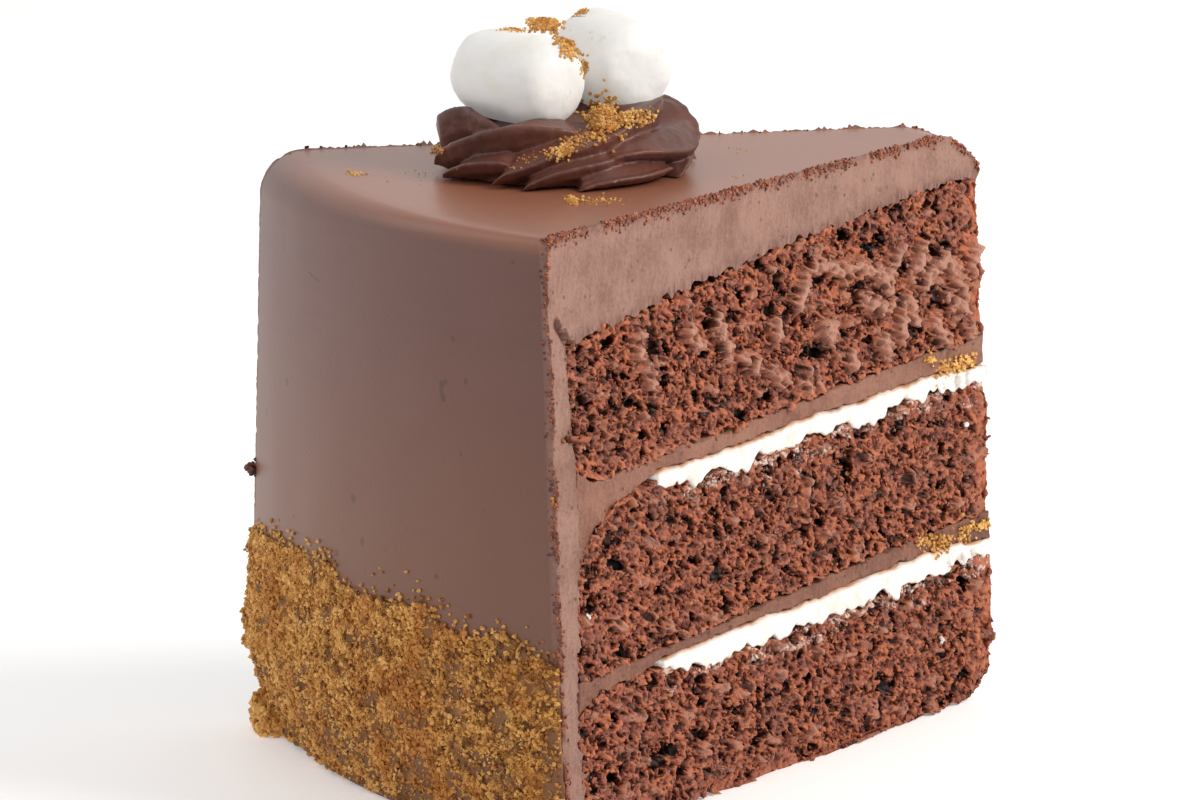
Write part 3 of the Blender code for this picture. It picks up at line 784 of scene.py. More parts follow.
# Frosting that the knife dragged over the top sponge, as strokes of distance from the middle and height, in mm
smearStrokes = (
    ((58.0, 79.9), (54.9, 83.4), (51.3, 85.5)), ((51.3, 85.5), (43.1, 83.3), (34.8, 82.1)),
    ((34.8, 82.1), (31.9, 79.2), (30.3, 75.3)), ((30.7, 79.7), (26.9, 83.7)), ((23.5, 79.2), (18.7, 83.9)),
    ((20.5, 77.0), (16.8, 79.2), (13.9, 80.8)), ((13.9, 80.8), (10.4, 76.9), (8.1, 72.8)),
    ((5.5, 77.5), (4.1, 80.3)), ((26.7, 74.7), (27.5, 69.2)), ((38.6, 77.5), (32.1, 74.7)),
    ((13.3, 73.7), (8.2, 70.5)), ((50.0, 74.9), (48.7, 71.7)), ((25.8, 75.0), (23.2, 70.9)),
    ((42.9, 68.3), (41.8, 66.2)), ((78.2, 76.6), (78.3, 74.2)), ((64.2, 77.7), (64.3, 75.6)),
    ((48.5, 75.0), (48.6, 72.9)), ((102.8, 82.2), (103.0, 79.1)), ((66.1, 70.0), (62.7, 67.4)),
    ((56.5, 67.7), (55.8, 65.1)), ((81.1, 81.2), (80.1, 78.6)), ((100.1, 76.3), (99.6, 73.8)),
    ((6.9, 66.5), (5.8, 62.5)), ((16.9, 69.7), (14.9, 66.1)), ((33.6, 69.3), (31.3, 66.8)),
    ((88.5, 80.4), (85.9, 77.4)), ((73.2, 73.3), (71.2, 71.3)), ((12.6, 63.1), (4.9, 60.9)),
)


# How much frosting lies on each point; the strokes of the unseen cut are shifted
def smearShares(radius, angle, z):
    share = np.zeros(len(radius))
    for side, alongShift, upShift in ((1, 0.0, 0.0), (-1, 11.0, -1.5)):
        at = np.stack([radius * 1000.0 - alongShift, z * 1000.0 - upShift], axis=1)
        for stroke in smearStrokes:
            for first, last in zip(stroke, stroke[1:]):
                start, run = np.array(first), np.array(last) - np.array(first)
                along = np.clip(((at - start) @ run) / (run @ run), 0.0, 1.0)
                away = np.linalg.norm(at - start - along[:, None] * run, axis=1)
                ragged = np.sin(2.9 * at[:, 0] + 1.7 * at[:, 1]) + np.sin(4.3 * at[:, 1] - 2.1 * at[:, 0])
                found = 1.0 - easeAll((away - 0.5 - 0.35 * ragged) / (sponges["smearWidth"] * 1000.0))
                share = np.maximum(share, np.where(angle * side > 0.0, found, 0.0))
    return share


def makeSponge(nodeName, name, seed):
    piece = copySolid(nodeName, name)
    lines = edgeLines(piece)
    divideCut(piece, sponges["cuts"])
    ragEdges(piece, lines, sponges, seed)
    points = readPoints(piece)
    radius, angle, z = toCakeAll(points)
    share = cutShare(points)
    smear = smearShares(radius, angle, z) * share if nodeName == "sponge_top" else np.zeros(len(points))
    uneven = np.zeros(len(points))
    milk = np.zeros(len(points))
    for number in np.nonzero(share > 0.3)[0]:
        side = 1 if angle[number] > 0 else -1
        high = edgesAt(lines, side, radius[number])[1]
        uneven[number] = noise.noise(Vector((radius[number] / 0.0016, 7.0 * side, z[number] / 0.0016 + 11.0 * seed)))
        if nodeName != "sponge_top" and radius[number] < 0.098:
            below = (high - z[number]) / 0.0042
            cloud = noise.noise(Vector((radius[number] / 0.005, 3.0 * side, z[number] / 0.002 + 5.0 * seed)))
            milk[number] = ease((cloud + 0.45 - 0.65 * below) / 0.5) if below > -0.2 else 0.0
        drag = noise.noise(Vector((radius[number] / 0.0045, 5.0 * side, z[number] / 0.0025 + 23.0 * seed)))
        smear[number] = max(smear[number], 0.55 * ease((drag - 0.34) / 0.16))
    smear = np.clip(smear * (0.95 + 0.9 * uneven), 0.0, 1.0)
    groupFrom(piece, "cut", share)
    calm = 0.2 + 0.8 * easeAll((radius - 0.002) / 0.009)
    for side in (1, -1):
        low, high = edgesAt(lines, side, radius)
        inset = easeAll(np.minimum(high - z, z - low) / sponges["calmEdge"])
        calm = np.where(angle * side > 0.0, calm * (0.3 + 0.7 * inset), calm)
    groupFrom(piece, "rough", share * (1.0 - 0.85 * smear) * calm)
    relief(piece, name + "Lump", sponges["lump"], 0.5)
    applyAll(piece)
    before = readPoints(piece)
    normals = readNormals(piece)
    relief(piece, name + "Clump", sponges["clump"], 0.35, group="rough", kind="VORONOI")
    relief(piece, name + "Pore", sponges["pore"], 1.0, group="rough", ramp=sponges["poreRamp"])
    relief(piece, name + "SmallPore", sponges["smallPore"], 1.0, group="rough", ramp=sponges["smallPoreRamp"])
    relief(piece, name + "Grit", sponges["grit"], 0.5, 2, "rough")
    applyAll(piece)
    after = readPoints(piece)
    # How far each point rose in the relief becomes the depth attribute, from which the sponge material paints shade
    # into the pits and light onto the tops
    raised = ((after - before) * normals).sum(axis=1)
    low, high = np.percentile(raised[share > 0.9], (4, 97))
    keepValue(piece, "depth", np.clip((raised - low) / (high - low), 0.0, 1.0))
    sides = np.where(angle > 0.0, 1.0, -1.0)
    outward = np.stack([sides * math.cos(cake["halfAngle"]), np.full(len(sides), math.sin(cake["halfAngle"])),
                        np.zeros(len(sides))], axis=1)
    writePoints(piece, after + (sponges["smearProud"] * smear)[:, None] * outward)
    keepInside(piece)
    keepValue(piece, "smear", smear)
    keepValue(piece, "milk", milk)
    keepValue(piece, "grains", cutShare(readPoints(piece), 0.001) * (1.0 - smear))
    smooth(piece)
    return piece


for number, (nodeName, pieceName) in enumerate((("sponge_bottom", "sponge_low"), ("sponge_middle", "sponge_centre"),
                                                ("sponge_top", "sponge_high"))):
    sponge = makeSponge(nodeName, pieceName, number)
    loose = scatter(pieceName + "_crumbs", sponge, sponges["crumbDensity"], sponges["crumbSizes"],
                    (-0.0003, 0.0002), 10 * number)
    lumps = scatter(pieceName + "_lumps", sponge, sponges["lumpDensity"], sponges["lumpSizes"],
                    (-0.0009, 0.0000), 10 * number + 5)
    finishGrains(loose, spongeMaterial, "sponge", (0.24, 0.86))
    finishGrains(lumps, spongeMaterial, "sponge", (0.40, 0.80))
    finishPiece(sponge, spongeMaterial, "sponge", nodeName)
print("sponges made")


# Chocolate fillings
fillings = {
    "cuts": 13,
    "ripple": (0.0024, 0.0007),
    "grit": (0.0008, 0.0003),
    "ragTop": 0.0006,
    "ragLow": 0.0005,
    "ragSize": 0.0035,
    "ragReach": 0.0010,
    "proud": 0.0002,
}


def makeFilling(nodeName, name, seed):
    piece = copySolid(nodeName, name)
    lines = edgeLines(piece)
    divideCut(piece, fillings["cuts"])
    ragEdges(piece, lines, fillings, seed)
    groupFrom(piece, "cut", cutShare(readPoints(piece)))
    relief(piece, name + "Ripple", fillings["ripple"], 0.45, 2)
    relief(piece, name + "Grit", fillings["grit"], 0.5)
    applyAll(piece)
    keepInside(piece)
    keepPlace(piece)
    smooth(piece)
    return piece


for number, nodeName in enumerate(("chocolate_filling_lower", "chocolate_filling_upper")):
    finishPiece(makeFilling(nodeName, nodeName.replace("filling", "cream"), 40 + number), fillingMaterials[number],
                "chocolate_filling", nodeName)

# Marshmallow creme, with the sponge's stain along its upper edge
cremes = {
    "cuts": 13,
    "blob": (0.0036, 0.0010),
    "fine": (0.0012, 0.0004),
    "ragTop": 0.0006,
    "ragLow": 0.0019,
    "ragSize": 0.0048,
    "ragReach": 0.0016,
    "proud": 0.0004,
    "bulge": 0.0004,
    "stainWidth": 0.0006,
}


def makeCreme(nodeName, name, seed):
    piece = copySolid(nodeName, name)
    lines = edgeLines(piece)
    divideCut(piece, cremes["cuts"])
    points = readPoints(piece)
    radius, angle, z = toCakeAll(points)
    share = cutShare(points, 0.0012)
    stain = np.zeros(len(points))
    for number in np.nonzero(share > 0.4)[0]:
        side = 1 if angle[number] > 0 else -1
        low, high = edgesAt(lines, side, radius[number])
        level = min(max((z[number] - low) / (high - low), 0.0), 1.0)
        points[number] += cremes["bulge"] * (4.0 * level * (1.0 - level)) * np.array(cutNormal(side))
        wander = 0.8 + noise.noise(Vector((radius[number] / 0.006, 4.0 * side, 3.0 * seed)))
        stain[number] = ease((z[number] - high) / cremes["stainWidth"] + 1.0) * min(max(wander, 0.0), 1.0)
    writePoints(piece, points)
    ragEdges(piece, lines, cremes, seed)
    groupFrom(piece, "cut", cutShare(readPoints(piece)))
    relief(piece, name + "Blob", cremes["blob"], 0.40)
    relief(piece, name + "Fine", cremes["fine"], 0.5)
    applyAll(piece)
    keepInside(piece)
    keepValue(piece, "stain", stain)
    smooth(piece)
    return piece


for number, nodeName in enumerate(("marshmallow_creme_lower", "marshmallow_creme_upper")):
    finishPiece(makeCreme(nodeName, nodeName.replace("creme", "cream"), 50 + number), cremeMaterial,
                "marshmallow_creme", nodeName)
print("fillings made")


# The frosting coat
coat = {
    "topRows": 228,
    "edgeRows": 24,
    "wallRows": 198,
    "skinJitter": 0.00010,
    "roundRows": 6,
    "skinCuts": 11,
    "thickRows": 26,
    "sharpEdge": 0.0016,
    "softEdge": 0.0075,
    "edgeStep": 0.0015,
    "tuckNear": 0.0016,
    "tuckFar": 0.0046,
    "tuckHeight": 0.018,
    "tuckMiddle": 0.007,
    "tuckCurve": 1.3,
    "tipFall": 0.0092,
    "tipFallLength": 0.015,
    "swell": 0.0009,
    "swellLength": 0.060,
    "swellStart": 0.038,
    "upperTip": 0.0933,
    "upperFall": 0.0108,
    "upperCurve": 1.6,
    "wave": 0.00045,
    "waveLength": 0.021,
    "waveShift": (0.0, 0.0, 86.5),
    "cutRelief": 0.00040,
    "streak": 0.00012,
    "innerRag": 0.0013,
    "ridgeRag": 0.00045,
    "burrProud": 0.0012,
    "burrTall": 0.0012,
    "ridgeDensity": 7000000.0,
    "ridgeSizes": (0.08, 0.42),
    "crack": ((124.4, 87.4), (122.6, 85.0), (120.6, 82.6)),
    "crackDepth": 0.0018,
    "crackWidth": 0.9,
    "cutRun": 0.23,
    "wanderSizes": (0.0030, 0.0011),
    "innerReach": 0.0014,
    "innerProud": 0.0004,
    "ridgeReach": 0.0009,
    "chipSize": 0.0016,
    "crowdSize": 0.0065,
    "crumbReach": 0.0011,
    "patchSize": 0.0032,
    "patchReach": 0.0005,
    "burrSize": 0.0009,
    "soilReach": 0.0022,
    "soilSize": 0.004,
    "wallSoilReach": 0.0012,
}


# Where the sponges end under the coat
def coreRadius(z):
    swell = coat["swell"] * math.sin(2.0 * math.pi * (z - coat["swellStart"]) / coat["swellLength"])
    return cake["radius"] - cake["coatThick"] - swell


def station(row):
    return cake["tip"] + (cake["rim"] - cake["tip"]) * row / 20.0


# The uneven top of the upper sponge
def upperTop(radius, angle):
    fall = coat["upperFall"] * (radius / cake["radius"]) ** coat["upperCurve"]
    x, y = radius * math.sin(angle), -radius * math.cos(angle)
    wave = noise.noise(Vector((x, y, 0.0)) / coat["waveLength"] + Vector(coat["waveShift"]))
    return coat["upperTip"] - fall + coat["wave"] * wave


# The wall, tucked in at its foot
def wallRadius(z, angle):
    side = ease(0.5 - 0.5 * angle / cake["halfAngle"])
    tuck = coat["tuckNear"] + (coat["tuckFar"] - coat["tuckNear"]) * side
    return cake["radius"] - tuck * max(1.0 - z / coat["tuckHeight"], 0.0) ** coat["tuckCurve"]


def wallHeight(start, row):
    if row >= 7.0:
        return coat["tuckMiddle"] * (8.0 - row)
    if row > 6.0:
        return coat["tuckHeight"] + (coat["tuckMiddle"] - coat["tuckHeight"]) * (row - 6.0)
    return start + (coat["tuckHeight"] - start) * row / 6.0


# The coat's outer and inner skin: rows up to 20 lie on top, up to 24 round the edge, up to 32 down the wall
def coatOutside(row, angle):
    side = ease(0.5 - 0.5 * angle / cake["halfAngle"])
    edge = coat["sharpEdge"] + (coat["softEdge"] - coat["sharpEdge"]) * side
    if row <= 20.0:
        radius = station(row)
        short = max(1.0 - radius / coat["tipFallLength"], 0.0)
        return radius, cake["height"] - coat["tipFall"] * short * short
    if row <= 24.0:
        turn = 0.5 * math.pi * (row - 20.0) / 4.0
        flat = cake["radius"] - edge
        radius = flat + edge * math.sin(turn)
        if row < 20.5:
            radius = station(20.0) + (radius - station(20.0)) * (row - 20.0) / 0.5
        return radius, cake["height"] - edge * (1.0 - math.cos(turn))
    z = wallHeight(cake["height"] - edge, row - 24.0)
    return wallRadius(z, angle), z


def coatInside(row, angle):
    if row <= 20.0:
        return station(row), upperTop(station(row), angle) + cake["gap"]
    corner = upperTop(cake["radius"] - cake["coatThick"], angle) + cake["gap"]
    if row <= 21.0:
        first = Vector((station(20.0), upperTop(station(20.0), angle) + cake["gap"]))
        last = Vector((coreRadius(corner) + cake["gap"], corner))
        return tuple(first.lerp(last, row - 20.0))
    if row <= 24.0:
        z = corner - coat["edgeStep"] * (row - 21.0)
    else:
        z = wallHeight(corner - coat["edgeStep"] * 3.0, row - 24.0)
    return coreRadius(z) + cake["gap"], z


# Unevenness along a cut of the coat, different on each side of the slice
def alongCut(way, size, side, seed):
    return noise.noise(Vector((way / size, side, seed)))


# How deep the crack in the near edge is at a place on the cut
def crackPush(radius, z):
    at = Vector((radius * 1000.0, z * 1000.0))
    push = 0.0
    for first, last in zip(coat["crack"], coat["crack"][1:]):
        run = Vector(last) - Vector(first)
        share = min(max((at - Vector(first)).dot(run) / run.length_squared, 0.0), 1.0)
        away = (at - Vector(first) - share * run).length
        push -= coat["crackDepth"] * (1.0 - ease(away / coat["crackWidth"]))
    return push


# A unit cube divided along one axis, in passes that the divide tool can take
def divideAlong(axis, passes):
    for cuts in passes:
        mesh = bmesh.from_edit_mesh(bpy.context.object.data)
        for edge in mesh.edges:
            run = edge.verts[1].co - edge.verts[0].co
            edge.select_set(abs(run[axis]) > 0.9 * run.length)
        bmesh.update_edit_mesh(bpy.context.object.data)
        bpy.ops.mesh.subdivide(number_cuts=cuts)
        bpy.ops.mesh.select_all(action="DESELECT")


def makeCoat():
    total = coat["topRows"] + coat["edgeRows"] + coat["wallRows"]
    bpy.ops.mesh.primitive_cube_add(size=1.0, location=(0.5, 0.5, 0.5))
    piece = bpy.context.object
    piece.name = "chocolate_coat"
    placeInMesh(piece)
    bpy.ops.object.mode_set(mode="EDIT")
    bpy.ops.mesh.select_mode(type="EDGE")
    bpy.ops.mesh.select_all(action="DESELECT")
    divideAlong(0, (total // 18 - 1, 17))
    divideAlong(2, (coat["thickRows"] - 1,))
    divideAlong(1, (coat["roundRows"] - 1,))
    mesh = bmesh.from_edit_mesh(piece.data)
    for edge in mesh.edges:
        onSkin = all(vert.co.z > 0.9999 for vert in edge.verts)
        edge.select_set(onSkin and abs(edge.verts[0].co.y - edge.verts[1].co.y) > 0.01)
    bmesh.update_edit_mesh(piece.data)
    bpy.ops.mesh.subdivide(number_cuts=coat["skinCuts"])
    bpy.ops.mesh.select_all(action="SELECT")
    bpy.ops.mesh.quads_convert_to_tris()
    bpy.ops.object.mode_set(mode="OBJECT")
    marks = [0, coat["topRows"], coat["topRows"] + coat["edgeRows"], total]
    points = readPoints(piece)
    onCut, ridge, burr, soil, top = (np.zeros(len(points)) for _ in range(5))
    for number, (along, around, thick) in enumerate(points):
        row = float(np.interp(along * total, marks, [0.0, 20.0, 24.0, 32.0]))
        angle = (2.0 * around - 1.0) * cake["halfAngle"]
        inner = Vector(coatInside(row, angle))
        outer = Vector(coatOutside(row, angle))
        depth = (outer - inner).length
        push = 0.0
        side = -1.0 if around < 0.5 else 1.0
        if around < 0.0001 or around > 0.9999:
            way = along * coat["cutRun"]
            wander = alongCut(way, coat["wanderSizes"][0], 9.0 * side, 2.0)
            wander += 0.6 * alongCut(way, coat["wanderSizes"][1], 9.0 * side, 8.0)
            nearInner = math.exp(-(thick * depth / coat["innerReach"]) ** 2)
            nearRidge = math.exp(-((1.0 - thick) * depth / coat["ridgeReach"]) ** 2)
            chips = alongCut(way, coat["chipSize"], 9.0 * side, 21.0)
            thick += (coat["innerRag"] * wander * nearInner - coat["ridgeRag"] * max(chips, 0.0) * nearRidge) / depth
            push += coat["innerProud"] * nearInner * (0.3 + max(-wander, 0.0))
            crowd = alongCut(way, coat["crowdSize"], 5.0 * side, 14.0)
            under = (1.0 - thick) * depth
            ridge[number] = math.exp(-(under / coat["crumbReach"]) ** 2) * ease((crowd + 0.55) / 0.8)
            if side < 0.0 or row > 22.0:
                ridge[number] *= 0.12 if row <= 22.0 else (0.5 if side > 0.0 else 0.0)
            reach = coat["crumbReach"] + coat["patchReach"] * alongCut(way, coat["patchSize"], 5.0 * side, 51.0)
            burr[number] = math.exp(-(under / reach) ** 2) * (0.55 + 0.45 * ease((crowd + 0.5) / 0.6))
            bumpy = abs(alongCut(way, coat["burrSize"], 5.0 * side, under / coat["burrSize"]))
            push += coat["burrProud"] * burr[number] * bumpy
            if row < 24.0:
                reach = coat["soilReach"] * (1.0 + 0.9 * alongCut(way, coat["soilSize"], 5.0 * side, 71.0))
                soil[number] = ease(1.15 - thick * depth / reach)
            else:
                soil[number] = 0.35 * ease(1.0 - thick * depth / coat["wallSoilReach"])
            onCut[number] = 1.0
        radius, z = inner.lerp(outer, thick)
        point = fromCake(radius, angle, z)
        if onCut[number]:
            lump = smoothNoise(point, 0.006, 3) + 0.5 * smoothNoise(point, 0.0022, 4)
            streak = noise.noise(Vector((radius / 0.0009, 40.0 * side, (z - 0.45 * radius) / 0.006)))
            push += coat["cutRelief"] * lump + coat["streak"] * streak
            if side > 0.0:
                push += crackPush(radius, z)
            point += float(push) * cutNormal(side)
            if row < 20.5:
                point.z += float(coat["burrTall"] * burr[number] * bumpy) * ease((radius - 0.004) / 0.01)
        elif thick > 0.999:
            point += coat["skinJitter"] * smoothNoise(point, 0.012, 5) * Vector((0.0, -1.0, 0.3))
            rim = min(around, 1.0 - around) * 2.0 * cake["halfAngle"] * radius
            burr[number] = 0.9 * math.exp(-(rim / 0.0006) ** 2) if around > 0.5 else 0.0
            top[number] = ease((z - cake["height"] + 0.0036) / 0.0032)
        points[number] = point
    writePoints(piece, points)
    for name, values in (("cut", onCut), ("grains", ridge), ("burr", burr), ("soil", soil), ("top", top)):
        keepValue(piece, name, values)
    keepPlace(piece)
    keepInside(piece)
    smooth(piece, 38)
    return piece


coatPiece = makeCoat()
ridgeCrumbs = scatter("ridge_crumbs", coatPiece, coat["ridgeDensity"], coat["ridgeSizes"], (-0.0002, 0.0002), 33)
finishGrains(ridgeCrumbs, spongeMaterial, "sponge", (0.30, 0.95))
finishPiece(coatPiece, frostingMaterial, "chocolate_frosting", "frosting_coat")
print("coat made")


# The graham crumb band round the foot
band = {
    "bottom": 0.0008,
    "topLine": ((-22.3, 35.0), (-20.0, 35.2), (-17.5, 36.2), (-13.6, 37.0), (-10.0, 37.2), (-6.6, 38.2), (-3.8, 38.6),
                (-2.0, 35.8), (1.0, 35.2), (4.0, 35.4), (6.5, 35.6), (9.0, 37.0), (10.8, 34.0), (15.0, 33.4),
                (17.2, 35.6), (19.2, 32.7), (22.3, 31.3)),
    "thick": 0.0003,
    "thickNear": 0.0002,
    "belly": 0.0004,
    "around": 200,
    "up": 70,
    "lump": (0.0034, 0.0011),
    "clump": (0.0013, 0.0007),
    "fineDensity": 2900000.0,
    "fineSizes": (0.10, 0.36),
    "coarseDensity": 1100000.0,
    "coarseSizes": (0.20, 0.62),
    "backing": 0.0006,
    "strays": 230,
    "chunk": 520,
    "chunkAngle": -18.9,
    "chunkHalf": 2.1,
    "chunkTall": 0.0074,
    "chunkDeep": (0.0008, 0.0048),
    "chunkSizes": (0.0003, 0.0009),
    "straySizes": (0.00015, 0.00045),
}


# The band's uneven upper edge
def bandTop(angle):
    line = np.array(band["topLine"])
    fine = 0.0014 * noise.noise(Vector((angle * cake["radius"] / 0.0016, 4.0, 0.0)))
    return float(np.interp(math.degrees(angle), line[:, 0], line[:, 1])) / 1000.0 + fine


def makeBandBed():
    bpy.ops.mesh.primitive_grid_add(x_subdivisions=band["around"], y_subdivisions=band["up"], size=1.0,
                                    location=(0.5, 0.5, 0.0))
    piece = bpy.context.object
    piece.name = "graham_crumb_bed"
    placeInMesh(piece)
    points = readPoints(piece)
    share, hollow = np.zeros(len(points)), np.zeros(len(points))
    for number, (across, up, _) in enumerate(points):
        angle = (2.0 * across - 1.0) * cake["halfAngle"]
        z = band["bottom"] + up * (bandTop(angle) - band["bottom"])
        side = ease(0.5 - 0.5 * angle / cake["halfAngle"])
        rise = band["thickNear"] + (band["thick"] - band["thickNear"]) * side
        rise += band["belly"] * side * math.sin(math.pi * min(max((z - 0.006) / 0.026, 0.0), 1.0))
        rise *= min(1.0, 5.0 * (1.0 - up) + 0.15)
        flat = Vector((angle * cake["radius"], 0.0, z))
        big = noise.noise(flat / band["lump"][0])
        lump = band["lump"][1] * big + band["clump"][1] * noise.noise(flat / band["clump"][0])
        bare = noise.noise(flat / 0.0050 + Vector((0.0, 5.0, 0.0))) - 0.35 * ease(1.0 - z / 0.022)
        share[number] = 0.42 + 0.58 * ease((bare + 0.45) / 0.5 + 0.5 * big)
        hollow[number] = 1.0 - ease((bare + 0.42) / 0.45)
        rise = max(rise + lump * (0.45 + 0.55 * side), 0.0001)
        points[number] = fromCake(wallRadius(z, angle) + cake["gap"] + rise, angle, z)
    writePoints(piece, points)
    keepValue(piece, "grains", share)
    keepValue(piece, "hollow", hollow)
    return piece


bed = makeBandBed()
fineCrumbs = scatter("graham_crumbs_fine", bed, band["fineDensity"], band["fineSizes"], (-0.0001, 0.0003), 71)
coarseCrumbs = scatter("graham_crumbs_coarse", bed, band["coarseDensity"], band["coarseSizes"],
                       (-0.0001, 0.0005), 75)
backing = bed.modifiers.new("backing", "SOLIDIFY")
backing.thickness = band["backing"]
backing.offset = -1.0
applyAll(bed)
finishGrains(fineCrumbs, grahamMaterial, "graham_crumbs")
finishGrains(coarseCrumbs, grahamMaterial, "graham_crumbs")
keepInside(bed)
smooth(bed)
finishPiece(bed, grahamBedMaterial, "graham_crumbs", "graham_crumb_band")


# The clump of crumbs at the foot of the far edge, and single crumbs over the band's upper edge
def makeChunk():
    draw = random.Random(12)
    spots = []
    for _ in range(band["chunk"]):
        angle = math.radians(band["chunkAngle"] + band["chunkHalf"] * draw.uniform(-1.0, 1.0))
        aside = abs(angle - math.radians(band["chunkAngle"])) / math.radians(2.2)
        top = band["chunkTall"] * (1.0 - 0.5 * aside)
        z = draw.uniform(0.0004, top)
        out = draw.uniform(*band["chunkDeep"]) * (1.0 - 0.30 * z / top)
        spots.append((fromCake(wallRadius(z, angle) + out, angle, z), draw.uniform(*band["chunkSizes"])))
    for _ in range(band["strays"]):
        angle = cake["halfAngle"] * draw.uniform(-0.99, 0.99)
        z = bandTop(angle) + min(draw.expovariate(1.0 / 0.0011), 0.006)
        size = draw.uniform(*band["straySizes"])
        spots.append((fromCake(wallRadius(z, angle) + 0.5 * size, angle, z), size))
    return layGrains("graham_chunk", spots, 13)


finishGrains(makeChunk(), grahamMaterial, "graham_crumbs")
print("crumb band made")


# The piped rosette; the section's rise is held down to highest, in mm
rosette = {
    "place": (-0.0052, -0.0821),
    "stations": 90,
    "mound": (0.0192, 0.0088),
    "voxel": 0.00027,
    "soften": 0.5,
    "grain": (0.0016, 0.00025),
    "blend": 0.9,
    "startRun": 7.0,
    "endRun": 12.0,
    "waver": (0.25, 2.2),
    "highest": 7.6,
}

# Each fold's lip by its bearing in degrees, distance from the middle, height, face and slope, in mm
folds = (
    ((194, 22.6, 1.2, 1.5, 0.5), (206, 22.4, 3.4, 3.0, 0.4), (222, 22.4, 6.4, 4.6, 0.1), (235, 21.4, 9.0, 4.8, -0.2),
     (246, 18.9, 10.8, 4.8, -0.4), (254, 17.2, 11.4, 4.6, -0.6), (270, 16.4, 10.2, 4.0, -0.6),
     (288, 15.6, 8.8, 3.0, -0.4)),
    ((248, 22.7, 1.8, 1.0, 0.5), (254, 22.2, 3.6, 2.0, 0.4), (262, 21.5, 5.4, 2.8, 0.3), (272, 20.6, 7.0, 3.4, 0.2),
     (284, 19.3, 8.6, 3.8, 0.1), (296, 18.1, 9.6, 4.0, 0.1), (308, 17.3, 10.0, 3.8, 0.1), (324, 16.4, 9.6, 3.0, 0.1),
     (340, 15.2, 9.0, 2.0, 0.1)),
    ((264, 23.1, 0.4, 0.6, 0.4), (271, 22.9, 1.9, 1.2, 0.4), (279, 22.3, 3.3, 1.8, 0.4), (290, 21.3, 4.0, 2.0, 0.4),
     (302, 20.2, 4.3, 2.0, 0.4)),
    ((296, 23.2, 1.0, 0.8, 0.5), (301, 22.9, 2.5, 1.2, 0.5), (309, 22.2, 3.4, 1.3, 0.5), (321, 20.8, 5.2, 1.5, 0.5),
     (333, 19.6, 6.5, 1.9, 0.45), (346, 18.7, 7.5, 2.4, 0.4), (0, 18.1, 8.7, 3.0, 0.3), (14, 17.8, 10.1, 3.7, 0.1),
     (26, 17.7, 11.2, 4.3, -0.1), (38, 17.5, 12.4, 4.8, -0.3), (50, 16.8, 12.5, 4.8, -0.3),
     (60, 15.6, 11.2, 4.0, -0.2)),
    ((310, 23.4, 0.2, 0.5, 0.5), (316, 23.1, 1.6, 1.0, 0.5), (326, 22.1, 3.1, 1.6, 0.5), (336, 21.3, 3.8, 2.0, 0.5),
     (347, 20.6, 4.3, 2.3, 0.5), (358, 19.7, 4.8, 2.4, 0.5), (12, 18.6, 5.2, 2.2, 0.5)),
    ((346, 19.0, 4.0, 0.8, 0.5), (358, 20.4, 5.3, 1.0, 0.6), (10, 21.3, 5.6, 1.1, 0.8), (22, 22.1, 5.1, 1.2, 0.95),
     (34, 22.7, 4.5, 1.2, 1.1), (44, 23.0, 4.7, 1.5, 1.1), (54, 23.0, 5.8, 2.4, 1.0), (63, 22.4, 7.6, 3.4, 0.7),
     (72, 21.0, 9.6, 4.0, 0.3), (84, 19.0, 10.9, 4.2, 0.0), (100, 17.0, 10.6, 3.6, 0.0)),
    ((334, 23.3, 0.3, 0.4, 0.5), (343, 23.3, 1.2, 0.8, 0.6), (353, 23.1, 1.7, 1.0, 0.6), (4, 22.9, 1.8, 1.1, 0.6),
     (16, 22.5, 2.0, 1.1, 0.6), (30, 21.6, 2.2, 1.0, 0.5)),
    ((27, 22.8, 0.6, 0.8, 0.5), (42, 22.2, 2.4, 1.6, 0.5), (58, 21.6, 4.0, 2.4, 0.4), (76, 20.6, 5.6, 3.0, 0.3),
     (96, 19.4, 7.4, 3.4, 0.2), (116, 18.2, 9.4, 3.8, 0.0), (134, 17.0, 10.8, 3.8, -0.1), (150, 15.6, 10.4, 3.2, -0.1)),
    ((70, 23.2, 0.6, 0.8, 0.5), (84, 22.8, 2.6, 1.6, 0.5), (100, 21.8, 4.4, 2.4, 0.4), (120, 20.6, 6.2, 3.0, 0.3),
     (140, 19.4, 8.2, 3.6, 0.1), (158, 18.0, 10.2, 4.0, -0.1), (174, 16.8, 10.9, 3.8, -0.1),
     (190, 15.4, 10.2, 3.0, -0.1)),
    ((112, 23.2, 0.6, 0.8, 0.5), (126, 22.8, 2.7, 1.6, 0.5), (144, 21.7, 4.6, 2.4, 0.4), (164, 20.4, 6.6, 3.2, 0.2),
     (182, 19.2, 8.8, 3.8, 0.0), (198, 18.0, 10.4, 4.0, -0.1), (214, 16.6, 10.8, 3.6, -0.1),
     (228, 15.2, 10.0, 3.0, -0.1)),
    ((152, 23.2, 0.6, 0.8, 0.5), (166, 22.8, 2.4, 1.6, 0.5), (182, 21.9, 4.0, 2.2, 0.4), (198, 20.9, 5.4, 2.6, 0.3),
     (214, 19.9, 6.6, 2.8, 0.2), (232, 18.9, 7.4, 2.6, 0.2)),
)


